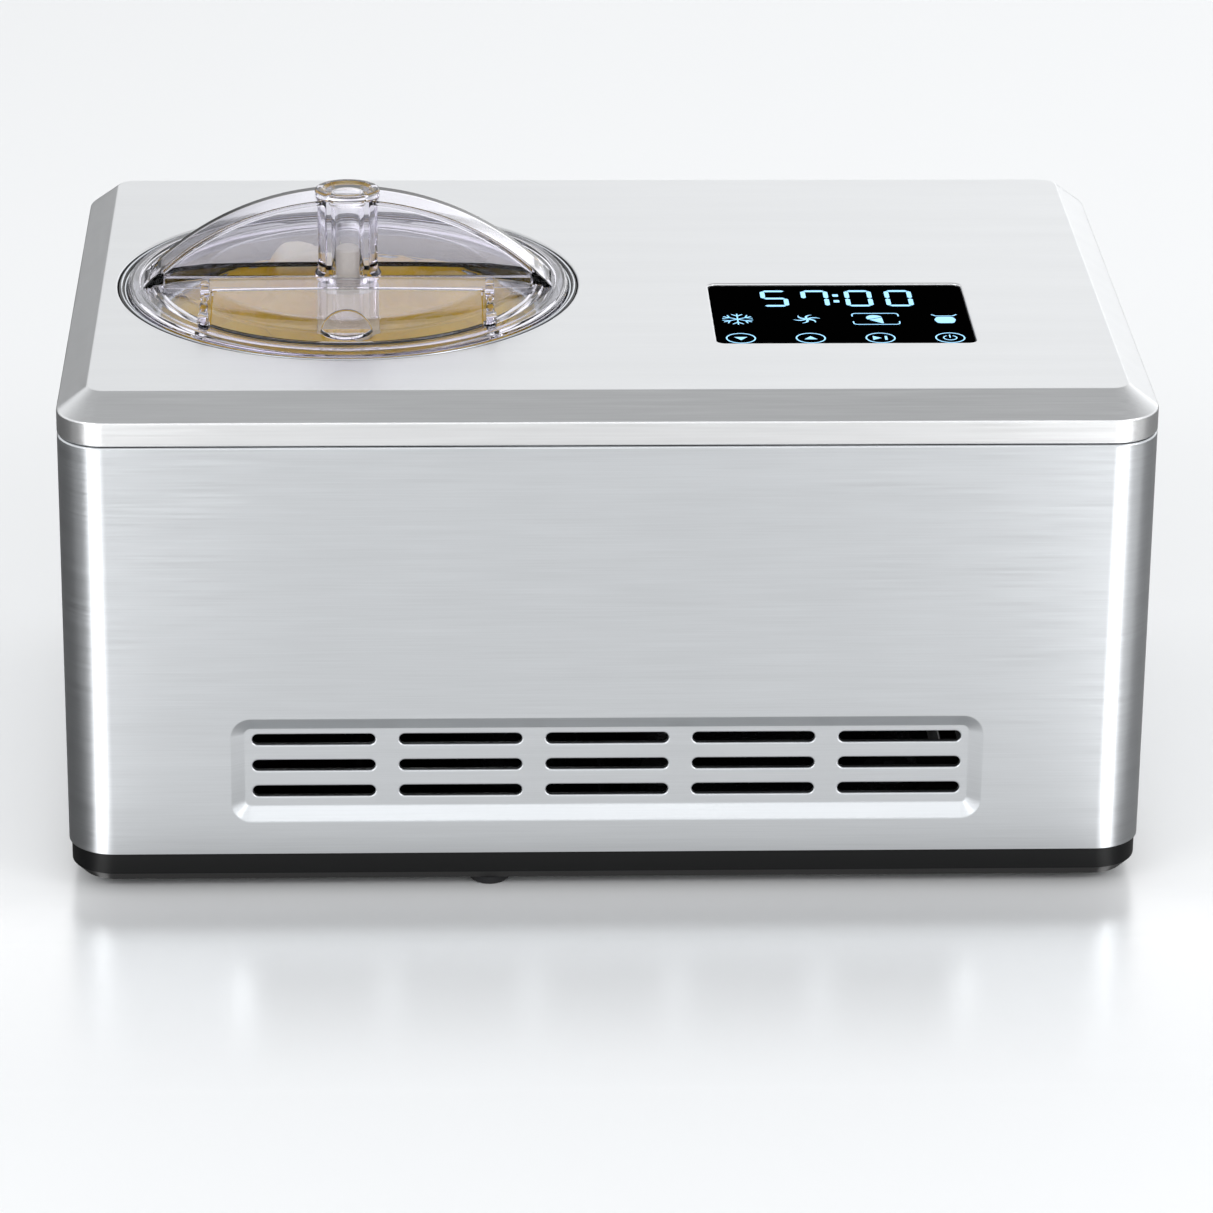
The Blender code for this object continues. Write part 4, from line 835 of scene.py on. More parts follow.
@dataclass
class HousingWall:
    """Steel wall all round, with the pressed vent panel in front and two openings behind."""

    corner: float = 19 * MM
    top_radius: float = 1.1 * MM
    top_lip: float = 8 * MM
    vent_half: Pair = (147.5 * MM, 22 * MM)
    vent_middle_z: float = 53 * MM
    vent_corner: float = 8 * MM
    vent_bevel: Pair = (5.5 * MM, 3.5 * MM)
    vent_radius: float = 3.0 * MM
    slot: Pair = (48 * MM, 4.4 * MM)
    slot_pitch: Pair = (57.5 * MM, 11 * MM)
    slot_rows: int = 3
    slot_columns: int = 5
    slot_rim: float = 1.25 * MM
    slot_lip: float = 2.4 * MM
    rear_window: tuple[float, float, float, float] = (24 * MM, 28 * MM, 184 * MM, 168 * MM)
    inlet: tuple[float, float, float, float] = (-160.6 * MM, 35.2 * MM, -129.4 * MM, 58.8 * MM)

    def profile(self) -> list[Pair]:
        """(inset, height) points up the wall and over its turned-in top edge."""
        low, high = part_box("housing_wrap")
        return rounded([(0.0, low.z), (0.0, high.z), (self.top_lip, high.z)], self.top_radius, 5)

    def open_side(self, surface: Surface, y: float) -> list:
        """Removes the flat of one long side and gives the loop of vertices round it."""
        flat = [face for face in surface.bm.faces if all(abs(v.co.y - y) < 1e-6 for v in face.verts)]
        corners = sorted({v for face in flat for v in face.verts}, key=lambda v: (v.co.z, v.co.x))
        bmesh.ops.delete(surface.bm, geom=flat, context="FACES_ONLY")
        return [corners[0], corners[1], corners[3], corners[2]]

    def slots(self, surface: Surface, floor_y: float) -> list[list]:
        """Adds the rolled rims of the vent slots and gives the loop round each."""
        half = (self.slot[0] - self.slot[1]) / 2
        rim = self.slot_rim
        depth = rounded([(rim + 0.4 * MM, 0.0), (0.0, 0.0), (0.0, self.slot_lip)], rim, 5)
        loops = []
        for column in range(self.slot_columns):
            for row in range(self.slot_rows):
                x = (column - (self.slot_columns - 1) / 2) * self.slot_pitch[0]
                z = self.vent_middle_z + 0.7 * MM + (row - (self.slot_rows - 1) / 2) * self.slot_pitch[1]
                rings = []
                for grow, back in depth:
                    radius = self.slot[1] / 2 + grow
                    outline = [*arc((x + half, z), radius, -90, 90, 12),
                               *arc((x - half, z), radius, 90, 270, 12)]
                    rings.append(upright_ring(outline, floor_y + back))
                loops.append(surface.rings(rings)[0])
        return loops

    def build(self) -> None:
        """Builds the wall."""
        half_x, half_y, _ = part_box("housing_wrap")[1]
        surface = Surface()
        rings = [ring_at(rounded_rectangle(half_x - step, half_y - step, self.corner - step, 16), height)
                 for step, height in self.profile()]
        surface.rings(rings)
        front = self.open_side(surface, -half_y)
        wide, depth = self.vent_bevel
        press = rounded([(-0.8 * MM, 0.0), (0.0, 0.0), (wide, depth), (wide + 0.8 * MM, depth)],
                        self.vent_radius, 5)
        recess = surface.rings([
            upright_ring(rounded_rectangle(self.vent_half[0] - step, self.vent_half[1] - step,
                                           self.vent_corner - step, 10, (0.0, self.vent_middle_z)),
                         -half_y + back) for step, back in press])
        surface.fill(front, recess[0])
        surface.fill(recess[-1], *self.slots(surface, -half_y + depth))
        rear = self.open_side(surface, half_y)
        holes = []
        for left, bottom, right, top in (self.rear_window, self.inlet):
            edge = rounded([(1.4 * MM, 0.0), (0.0, 0.0), (0.0, 1.3 * MM)], 1.0 * MM, 3)
            middle = ((left + right) / 2, (bottom + top) / 2)
            holes.append(surface.rings([
                upright_ring(rounded_rectangle((right - left) / 2 + step, (top - bottom) / 2 + step,
                                               1.0 * MM + step, 3, middle), half_y - back)
                for step, back in edge])[0])
        surface.fill(rear, *holes)
        make_piece("housing_wall", surface.mesh(), STEEL_WALL, Body.HOUSING, ["housing_wrap"],
                   wall=SHEET, sharp=40)


@dataclass
class CoverPan:
    """Steel cover: upright band, sloping edge, flat top with the well's hole and the window."""

    corner: float = 19 * MM
    band_top: float = 198 * MM
    slope: float = 12 * MM
    band_radius: float = 1.4 * MM
    top_radius: float = 1.2 * MM
    hole_radius: float = 93 * MM
    hole_edge: float = 1.0 * MM
    window_corner: float = 3.5 * MM
    window_gap: float = 0.4 * MM

    def build(self) -> None:
        """Builds the cover."""
        low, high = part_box("top_cover")
        well = well_axis()
        top = high.z
        profile = rounded([(0.5 * MM, low.z), (0.0, low.z + 0.5 * MM), (0.0, low.z + 4 * MM),
                           (0.0, self.band_top)], 0.4 * MM, 2)[:-1]
        profile += rounded([(0.0, low.z + 4.5 * MM), (0.0, self.band_top), (self.slope, top),
                            (self.slope + 3 * MM, top)], self.band_radius, 6)[1:]
        surface = Surface()
        outer = surface.rings([ring_at(rounded_rectangle(high.x - step, high.y - step,
                                                         self.corner - step, 16), height)
                               for step, height in profile])
        edge = rounded([(1.6 * MM, 0.0), (0.0, 0.0), (0.0, 1.6 * MM)], self.hole_edge, 5)
        hole = surface.rings([ring_at(circle(self.hole_radius + step, 160, (well.x, well.y)), top - down)
                              for step, down in edge])
        middle = middle_of("control_glass").to_2d()
        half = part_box("control_glass")[1].to_2d() - middle + Vector((self.window_gap, self.window_gap))
        window = surface.rings([ring_at(rounded_rectangle(half.x + step, half.y + step,
                                                          self.window_corner + step, 8, middle), top - down)
                                for step, down in edge])
        surface.fill(outer[-1], hole[0], window[0])
        make_piece("cover_pan", surface.mesh(), STEEL_COVER, Body.HOUSING, ["top_cover"],
                   wall=SHEET, sharp=40)


def well_axis() -> Vector:
    """Where the axis of the well stands on the table."""
    middle = middle_of("well_collar")
    return Vector((middle.x, middle.y, 0.0))


@dataclass
class BaseTray:
    """Black tray with a round lower edge, an upstand inside the wall and slots in its floor."""

    corner: float = 18 * MM
    lower_edge: float = 4.5 * MM
    wall: float = 2.5 * MM
    upstand_foot: float = 17 * MM
    upstand_top: float = 23 * MM
    upstand_set: Pair = (0.8 * MM, 3.0 * MM)
    slots: int = 5
    slot_pitch: float = 12 * MM
    slot_half: Pair = (2.5 * MM, 23 * MM)
    first_slot: Pair = (142.5 * MM, 11 * MM)

    def build(self) -> None:
        """Builds the tray."""
        low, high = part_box("base_tray")
        edge, floor, rim, top = self.lower_edge, low.z + self.wall, self.upstand_foot, self.upstand_top
        outside, inside = self.upstand_set
        outline = [(edge + inside, low.z), (edge, low.z), (0.0, low.z + edge), (0.0, rim), (outside, rim),
                   (outside, top), (inside, top), (inside, floor), (edge + inside, floor)]
        profile = rounded(outline, 0.7 * MM, 3)
        surface = Surface()
        stack = surface.rings([ring_at(rounded_rectangle(high.x - step, high.y - step,
                                                         max(self.corner - step, 4 * MM), 12), height)
                               for step, height in profile])
        bottoms, floors = [], []
        for index in range(self.slots):
            middle = (self.first_slot[0] + self.slot_pitch * index, self.first_slot[1])
            slot = rounded_rectangle(*self.slot_half, self.slot_half[0] - 0.1 * MM, 5, middle)
            made = surface.rings([ring_at(slot, low.z), ring_at(slot, floor)])
            bottoms.append(made[0])
            floors.append(made[1])
        surface.fill(stack[0], *bottoms)
        surface.fill(stack[-1], *floors)
        make_piece("base_moulding", surface.mesh(), BLACK_ABS, Body.HOUSING, ["base_tray"])


@dataclass
class Feet:
    """Turned rubber feet with a ribbed sole and a stem that plugs into the tray."""

    names: tuple[str, ...] = ("foot_front_left", "foot_front_right", "foot_rear_left", "foot_rear_right",
                              "foot_front_middle")
    radius: float = 8 * MM
    height: float = 3.7 * MM

    def build(self, repeat: Repeat) -> None:
        """Builds all the feet as one piece."""
        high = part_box(self.names[0])[1]
        top, r = self.height, self.radius
        sole = in_mm([(0.0, 0.6), (2.4, 0.6), (3.0, 0.0), (4.4, 0.0), (4.8, 0.5), (5.4, 0.5), (5.8, 0.0)])
        profile = [*sole, (r - 0.8 * MM, 0.0), (r - 0.2 * MM, 0.6 * MM),
                   (r, top - 0.4 * MM), (r - 0.4 * MM, top), (3.0 * MM, top), (3.0 * MM, high.z - 0.4 * MM),
                   (2.6 * MM, high.z), (0.0, high.z)]
        places = [(*middle_of(name).to_2d(), 0.0) for name in self.names]
        shape = Surface().turned(profile, 32, close=False)
        mesh = repeat.mesh(shape.mesh(), places, MOULDED_RUBBER)
        make_piece("rubber_feet", mesh, MOULDED_RUBBER, Body.HOUSING, self.names)


@dataclass
class Fasteners:
    """Cross-head screws under the tray and at the rear grille."""

    head_radius: float = 3.8 * MM
    shank_radius: float = 1.6 * MM

    def screw(self, head: float, length: float, pan: float) -> bpy.types.Mesh:
        """A screw along +Z with its head's top at nought and a cross recess in it.

        Args:
            head: Radius of its head.
            length: Length under its head.
            pan: Height of its head.

        Returns:
            The screw's mesh.
        """
        shank = min(self.shank_radius, head * 0.8)
        outline = rounded([(head * 0.6, 0.0), (head, pan * 0.45), (head, pan), (shank, pan),
                           (shank, pan + length), (0.0, pan + length + shank * 0.4)], 0.25 * head, 3)
        body = Surface().turned([(0.0, 0.0)] + outline, 20, close=False).mesh()
        for x, y in ((head * 0.62, head * 0.13), (head * 0.13, head * 0.62)):
            recess = Surface().box((-x, -y, -1 * MM), (x, y, pan * 0.6))
            body = combined(body, recess.mesh(), Operation.CUT)
        return body

    def build(self, repeat: Repeat) -> None:
        """Builds both groups of screws."""
        names = [f"base_screw_{number}" for number in range(1, 5)]
        places = [(*middle_of(name).to_2d(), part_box(name)[0].z) for name in names]
        screw = self.screw(self.head_radius, 8.5 * MM, 1.9 * MM)
        mesh = repeat.mesh(screw, places, BLACK_OXIDE)
        make_piece("base_screws", mesh, BLACK_OXIDE, Body.HOUSING, names)
        names = ["grille_screw_1", "grille_screw_2"]
        places = [(middle_of(name).x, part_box(name)[1].y, middle_of(name).z) for name in names]
        screw = self.screw(1.3 * MM, 5.0 * MM, 1.0 * MM)
        screw.transform(UPRIGHT)
        mesh = repeat.mesh(screw, places, ZINC_PLATE)
        make_piece("grille_screws", mesh, ZINC_PLATE, Body.HOUSING, names)


@dataclass
class RearGrille:
    """Louvred panel in the rear window: a frame, a middle bar and two columns of slats."""

    frame: float = 8 * MM
    rows: int = 12
    bar: float = 8 * MM
    slat: Pair = (6.6 * MM, 1.8 * MM)
    slat_tilt: float = 32.0
    flange: float = 4.9 * MM

    def build(self, repeat: Repeat) -> None:
        """Builds the grille."""
        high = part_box("rear_grille")[1]
        middle = middle_of("rear_grille").xz
        flange = Vector((high.x, high.z)) - middle
        half_x, half_z = flange.x - self.flange, flange.y - self.flange
        column = (half_x - self.frame - self.bar / 2) / 2
        centres = [middle.x + side * (self.bar / 2 + column) for side in (-1, 1)]
        holes = [rounded_rectangle(column, half_z - self.frame, 1.5 * MM, 4, (x, middle.y))[::-1]
                 for x in centres]
        place = Matrix.Translation((0.0, high.y, 0.0)) @ UPRIGHT
        surface = Surface()
        surface.slab([rounded_rectangle(half_x, half_z, 1.0 * MM, 3, middle), *holes],
                     0.0, 3.4 * MM, 0.5 * MM, 2, place)
        window = rounded_rectangle(half_x - 2 * MM, half_z - 2 * MM, 1.0 * MM, 3, middle)
        surface.slab([rounded_rectangle(*flange, 2 * MM, 3, middle), window[::-1]],
                     1.4 * MM, 3.8 * MM, 0.3 * MM, 1, place)
        make_piece("rear_panel", surface.mesh(), BLACK_ABS, Body.HOUSING, ["rear_grille"])
        blade = Surface()
        section = rounded_rectangle(self.slat[0] / 2, self.slat[1] / 2, self.slat[1] / 2 - 0.01 * MM, 4)
        lean = Matrix.Rotation(math.radians(90 - self.slat_tilt), 4, "X")
        turn = lean @ Matrix.Rotation(math.pi / 2, 4, "Y")
        blade.slab([section], -column - 0.5 * MM, column + 0.5 * MM, 0.0, 1,
                   turn @ Matrix.Rotation(math.pi / 2, 4, "Z"))
        pitch = 2 * (half_z - self.frame) / self.rows
        lowest = middle.y - half_z + self.frame + pitch / 2
        starts = [(x, high.y - 2.4 * MM, lowest) for x in centres]
        mesh = repeat.mesh(blade.mesh(), starts, BLACK_ABS, self.rows,
                           (0.0, 0.0, pitch))
        make_piece("grille_louvres", mesh, BLACK_ABS, Body.HOUSING)


@dataclass
class MainsInlet:
    """Three-pin appliance inlet: a socket with two cut corners, and flat pins inside."""

    half: Pair = (15.2 * MM, 11.4 * MM)
    socket_half: Pair = (12 * MM, 8.25 * MM)
    socket_cut: float = 4.5 * MM
    socket_depth: float = 16 * MM
    pins: tuple[Pair, ...] = ((-7 * MM, -0.5 * MM), (0.0, 3.5 * MM), (7 * MM, -0.5 * MM))

    def build(self, repeat: Repeat) -> None:
        """Builds the inlet."""
        low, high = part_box("mains_inlet")
        middle = middle_of("mains_inlet").xz
        (sx, sz), cut = self.socket_half, self.socket_cut
        mouth = [(sx, sz - cut), (sx - cut, sz), (cut - sx, sz), (-sx, sz - cut), (-sx, -sz), (sx, -sz)]
        mouth = [(x + middle[0], z + middle[1]) for x, z in rounded(mouth, 1.2 * MM, 4, closed=True)]
        body = rounded_rectangle(*self.half, 2 * MM, 5, middle)
        levels = [(body, low.y), (body, high.y - 0.6 * MM), (inset(body, 0.6 * MM), high.y)]
        surface = Surface()
        outer = surface.rings([upright_ring(points, y) for points, y in levels])
        inner = surface.rings([upright_ring(inset(mouth[::-1], 0.5 * MM), high.y),
                               upright_ring(mouth[::-1], high.y - 0.5 * MM),
                               upright_ring(mouth[::-1], high.y - self.socket_depth)])
        surface.fill(outer[0])
        surface.fill(outer[-1], inner[0])
        surface.fill(inner[-1])
        make_piece("inlet_body", surface.mesh(), BLACK_ABS, Body.HOUSING, ["mains_inlet"])
        pin = Surface().box((-1.0 * MM, -17 * MM, -2.0 * MM), (1.0 * MM, 0.0, 2.0 * MM), 0.5 * MM)
        places = [(middle[0] + x, high.y - 2.8 * MM, middle[1] + z) for x, z in self.pins]
        mesh = repeat.mesh(pin.mesh(), places, ZINC_PLATE)
        make_piece("inlet_pins", mesh, ZINC_PLATE, Body.HOUSING)


# ---------------------------------------------------------------- control panel

@dataclass
class ControlPanel:
    """Black glass with back-lit figures, four symbols and four touch keys."""

    glass_corner: float = 3.1 * MM
    digit: Pair = (11.0 * MM, 19.6 * MM)
    segment: float = 1.9 * MM
    digit_left: tuple[float, ...] = (-30.6 * MM, -14.2 * MM, 3.4 * MM, 19.6 * MM)
    digit_low: float = 9.7 * MM
    column_x: tuple[float, ...] = (-41.4 * MM, -13.8 * MM, 13.8 * MM, 41.4 * MM)
    symbol_y: float = -5.4 * MM
    key_y: float = -28.0 * MM
    key_radius: float = 5.95 * MM
    line: float = 0.85 * MM
    shapes: list[list[list[Pair]]] = field(default_factory=list)

    def draw(self, outline: Sequence[Pair], *holes: Sequence[Pair], at: Pair = (0.0, 0.0)) -> None:
        """Keeps one lit shape.

        Args:
            outline: Its anticlockwise outline.
            holes: Clockwise holes in it.
            at: Where its own origin goes on the glass.
        """
        self.shapes.append([[(x + at[0], y + at[1]) for x, y in loop] for loop in (outline, *holes)])

    def digit_shapes(self, lit: str, left: float) -> None:
        """Draws a seven-segment figure.

        Args:
            lit: Letters of its lit segments, a at the top, clockwise to f, g in the middle.
            left: Its left edge.
        """
        wide, tall = self.digit
        half, gap = self.segment / 2, 0.25 * MM
        level = {"a": tall - half, "g": tall / 2, "d": half}
        upright = {"f": (half, 1), "b": (wide - half, 1), "e": (half, 0), "c": (wide - half, 0)}
        for letter in lit:
            if letter in level:
                y = level[letter]
                x0, x1 = half + gap, wide - half - gap
                points = [(x0, y), (x0 + half, y - half), (x1 - half, y - half),
                          (x1, y), (x1 - half, y + half), (x0 + half, y + half)]
            else:
                x, upper = upright[letter]
                y0 = (tall / 2 if upper else half) + gap
                y1 = (tall - half if upper else tall / 2) - gap
                points = [(x, y0), (x + half, y0 + half), (x + half, y1 - half),
                          (x, y1), (x - half, y1 - half), (x - half, y0 + half)]
            self.draw(points, at=(left, self.digit_low))

    def figures(self) -> None:
        """Draws the four figures and the colon of the timer."""
        for lit, left in zip(("acdfg", "abcf", "abcdef", "abcdef"), self.digit_left):
            self.digit_shapes(lit, left)
        dot = rounded_rectangle(1.15 * MM, 1.4 * MM, 0.4 * MM, 3)
        for height in (0.32, 0.68):
            self.draw(dot, at=(-0.3 * MM, self.digit_low + height * self.digit[1]))

    def snowflake(self, at: Pair) -> None:
        """Draws a six-armed snowflake for cooling."""
        for arm in range(6):
            turn = Matrix.Rotation(math.radians(60 * arm + 30), 2)
            for points in ([(0.2 * MM, 0.0), (6.2 * MM, 0.0)],
                           [(5.6 * MM, 2.0 * MM), (3.6 * MM, 0.0), (5.6 * MM, -2.0 * MM)]):
                self.draw(stroke([tuple(turn @ Vector(p)) for p in points], 0.55 * MM), at=at)

    def swirl(self, at: Pair) -> None:
        """Draws a fan of six curved blades for mixing."""
        for blade in range(6):
            turn = Matrix.Rotation(math.radians(60 * blade + 10), 2)
            outer = arc((2.6 * MM, -1.4 * MM), 2.9 * MM, 150, 20, 8)
            inner = arc((3.0 * MM, -2.4 * MM), 3.0 * MM, 40, 125, 8)
            self.draw([tuple(turn @ Vector(p)) for p in (outer + inner)][::-1], at=at)

    def cone(self, at: Pair) -> None:
        """Draws an ice cream cone between brackets for the ready-made programme."""
        turn = Matrix.Rotation(math.radians(26), 2)
        scoop = arc((0.0, 1.4 * MM), 3.2 * MM, -8, 188, 12)
        waffle = in_mm([(2.9, 0.3), (-2.9, 0.3), (-0.3, -5.8), (0.3, -5.8)])
        for points in (scoop, waffle):
            self.draw([tuple(turn @ Vector(p)) for p in points], at=at)
        for side in (-1, 1):
            ends = [(-9.2, 3.2), (-9.2, 6.6), (9.2, 6.6), (9.2, 3.2)]
            bracket = rounded([(x * MM, side * y * MM) for x, y in ends], 2.4 * MM, 5)
            self.draw(stroke(bracket, 0.55 * MM), at=at)

    def pot(self, at: Pair) -> None:
        """Draws a covered tub for keeping cool."""
        tub = [(3.2, 2.2), (-3.2, 2.2), (-4.3, -1.2), (-3.3, -5.2), (3.3, -5.2), (4.3, -1.2)]
        self.draw(rounded(in_mm(tub), 1.6 * MM, 5, closed=True), at=at)
        rim = [(-4.9, 4.9), (-3.4, 3.3), (3.4, 3.3), (4.9, 4.9)]
        self.draw(stroke(in_mm(rim), 0.55 * MM), at=at)

    def keys(self) -> None:
        """Draws the rings of the touch keys and the symbol in each."""
        radius, line = self.key_radius, self.line
        for x in self.column_x:
            self.draw(circle(radius, 48), circle(radius - 0.6 * MM, 48)[::-1], at=(x, self.key_y))
        down, up, play, power = ((x, self.key_y) for x in self.column_x)
        self.draw(in_mm([(-2.6, 1.4), (0.0, -2.2), (2.6, 1.4)]), at=down)
        self.draw(in_mm([(-2.6, -1.4), (2.6, -1.4), (0.0, 2.2)]), at=up)
        self.draw(in_mm([(-3.0, -2.3), (0.4, 0.0), (-3.0, 2.3)]), at=play)
        self.draw(rounded_rectangle(0.5 * MM, 2.2 * MM, 0.1 * MM, 2), at=(play[0] + 2.2 * MM, play[1]))
        self.draw(stroke(arc((0.0, 0.0), 2.6 * MM, 122, 418, 20), 0.6 * line), at=power)
        self.draw(stroke([(0.0, 0.4 * MM), (0.0, 3.3 * MM)], 0.6 * line), at=power)

    def build(self) -> None:
        """Builds the glass and the lit shapes on it."""
        low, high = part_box("control_glass")
        middle = middle_of("control_glass").to_2d()
        outline = rounded_rectangle(*(high.to_2d() - middle), self.glass_corner, 8, middle)
        glass = Surface().slab([outline], low.z, high.z, 0.5 * MM, 3)
        make_piece("touch_glass", glass.mesh(), BLACK_GLASS, Body.HOUSING, ["control_glass"])
        self.figures()
        for draw, x in zip((self.snowflake, self.swirl, self.cone, self.pot), self.column_x):
            draw((x, self.symbol_y))
        self.keys()
        surface = Surface()
        for loops in self.shapes:
            surface.slab(loops, high.z, high.z + 0.05 * MM, place=Matrix.Translation(middle.to_3d()))
        make_piece("lit_symbols", surface.mesh(), ICE_BLUE, Body.HOUSING)


# ---------------------------------------------------------------- well, bucket, paddle

@dataclass
class Well:
    """Black collar round the bucket's rim, and the pot that is cooled."""

    steps: int = 160
    bead: float = 0.45 * MM
    bead_middle: Pair = (91.45 * MM, 206.45 * MM)

    def build(self) -> None:
        """Builds the collar, its bright trim and the pot."""
        axis = well_axis()
        collar = [(97.0, 204.9), (97.0, 202.2), (92.6, 202.2), (92.6, 195.7), (82.3, 195.7), (82.3, 198.5),
                  (90.3, 198.5), (90.3, 206.3), (92.6, 206.3), (92.6, 204.9)]
        surface = Surface()
        surface.turned(rounded(in_mm(collar), 0.4 * MM, 3, closed=True), self.steps, axis)
        make_piece("collar_ring", surface.mesh(), GLOSS_ABS, Body.HOUSING, ["well_collar"])
        surface = Surface()
        surface.turned(circle(self.bead, 10, self.bead_middle), self.steps, axis)
        lining = [(85.8, 198.52), (90.2, 198.52), (90.2, 205.9), (89.6, 205.9), (89.6, 198.74),
                  (85.8, 198.74)]
        surface.turned(rounded(in_mm(lining), 0.1 * MM, 2, closed=True), self.steps, axis)
        make_piece("well_trim", surface.mesh(), BRIGHT_STEEL, Body.HOUSING)
        pot = [(88.0, 195.4), (88.0, 193.7), (84.7, 193.7), (84.7, 84.5), (8.3, 84.5), (8.3, 86.5),
               (82.7, 86.5), (82.7, 195.4)]
        surface = Surface()
        surface.turned(rounded(in_mm(pot), 0.8 * MM, 3, closed=True), 128, axis)
        make_piece("cold_pot", surface.mesh(), SPUN_ALUMINIUM, Body.HOUSING, ["evaporator_pot"])


@dataclass
class Bucket:
    """Lift-out bucket of spun aluminium with a rolled rim, its bail and its paddle."""

    rim: float = 85.5 * MM
    radius: float = 80 * MM
    wall: float = 1.5 * MM
    handle_radius: float = 77.5 * MM
    wire: float = 1.5 * MM

    def shell(self) -> None:
        """Builds the bucket."""
        low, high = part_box("bucket")
        axis = well_axis()
        outer, floor = self.radius + self.wall, low.z + self.wall
        seat = high.z - 1.5 * MM
        profile = [(self.rim, high.z), (self.rim, seat), (outer, seat), (outer, low.z), (7.0 * MM, low.z),
                   (7.0 * MM, 150 * MM), (8.5 * MM, 150 * MM), (8.5 * MM, floor), (self.radius, floor),
                   (self.radius, high.z)]
        mesh = Surface().turned(rounded(profile, 0.7 * MM, 3, closed=True), 144, axis).mesh()
        reach = Vector((0.1, 0.0, 0.0))
        middle = axis + Vector((0.0, 0.0, middle_of("bucket_handle").z))
        holes = Surface().tube([middle - reach, middle, middle + reach], self.wire + 0.3 * MM)
        mesh = combined(mesh, holes.mesh(), Operation.CUT)
        make_piece("bucket_shell", mesh, HARD_ANODISED, Body.BUCKET, ["bucket"])

    def bail(self) -> None:
        """Builds the wire bail that lies along the rear of the rim."""
        axis = well_axis() + Vector((0.0, 0.0, middle_of("bucket_handle").z))
        reach = self.handle_radius
        bend = rounded([(81.0 * MM, 0.0), (reach, 0.0), (reach - 0.4 * MM, 6 * MM)], 2.4 * MM, 6)
        quarter = bend + arc((0.0, 0.0), reach - 0.2 * MM, 6, 90, 40)
        outline = quarter + [(-x, y) for x, y in reversed(quarter[:-1])]
        wire = Surface().tube([axis + Vector((x, y, 0.0)) for x, y in outline], self.wire, 14)
        make_piece("wire_bail", wire.mesh(), ZINC_PLATE, Body.HANDLE, ["bucket_handle"])

    def paddle(self) -> None:
        """Builds the mixing paddle: hub, two windowed blades and the pin into the lid."""
        axis = well_axis()
        hub = [(4.8, 222.5), (5.5, 221.8), (5.5, 206.0), (11.2, 206.0), (12.5, 204.7), (12.5, 90.3),
               (9.2, 90.3), (9.2, 152.0), (5.6, 152.0), (5.6, 163.0)]
        profile = [(0.0, 222.5 * MM), *rounded(in_mm(hub), 0.6 * MM, 3), (0.0, 163.0 * MM)]
        mesh = Surface().turned(profile, 48, axis, close=False).mesh()
        edge = [(11, 93), (72, 93), (76.5, 98), (76.5, 172), (70, 178), (58, 172), (30, 182), (11, 186)]
        windows = [[(24, 104), (66, 104), (66, 130), (24, 130)],
                   [(24, 140), (66, 140), (66, 160), (24, 170)]]
        outline = rounded(in_mm(edge), 4 * MM, 5, closed=True)
        holes = [rounded(in_mm(hole), 4 * MM, 4, closed=True)[::-1] for hole in windows]
        lift = Matrix.Translation((0.0, 0.0, 135 * MM))
        tilt = lift @ Matrix.Rotation(math.radians(5), 4, "X") @ lift.inverted() @ UPRIGHT
        for side in (0.0, math.pi):
            place = Matrix.Translation(axis) @ Matrix.Rotation(side, 4, "Z") @ tilt
            blade = Surface().slab([outline, *holes], -1.9 * MM, 1.9 * MM, 1.0 * MM, 3, place)
            mesh = combined(mesh, blade.mesh(), Operation.JOIN)
        make_piece("mixing_paddle", mesh, NYLON, Body.PADDLE, ["paddle"])

    def build(self) -> None:
        """Builds the bucket, the bail and the paddle."""
        self.shell()
        self.bail()
        self.paddle()


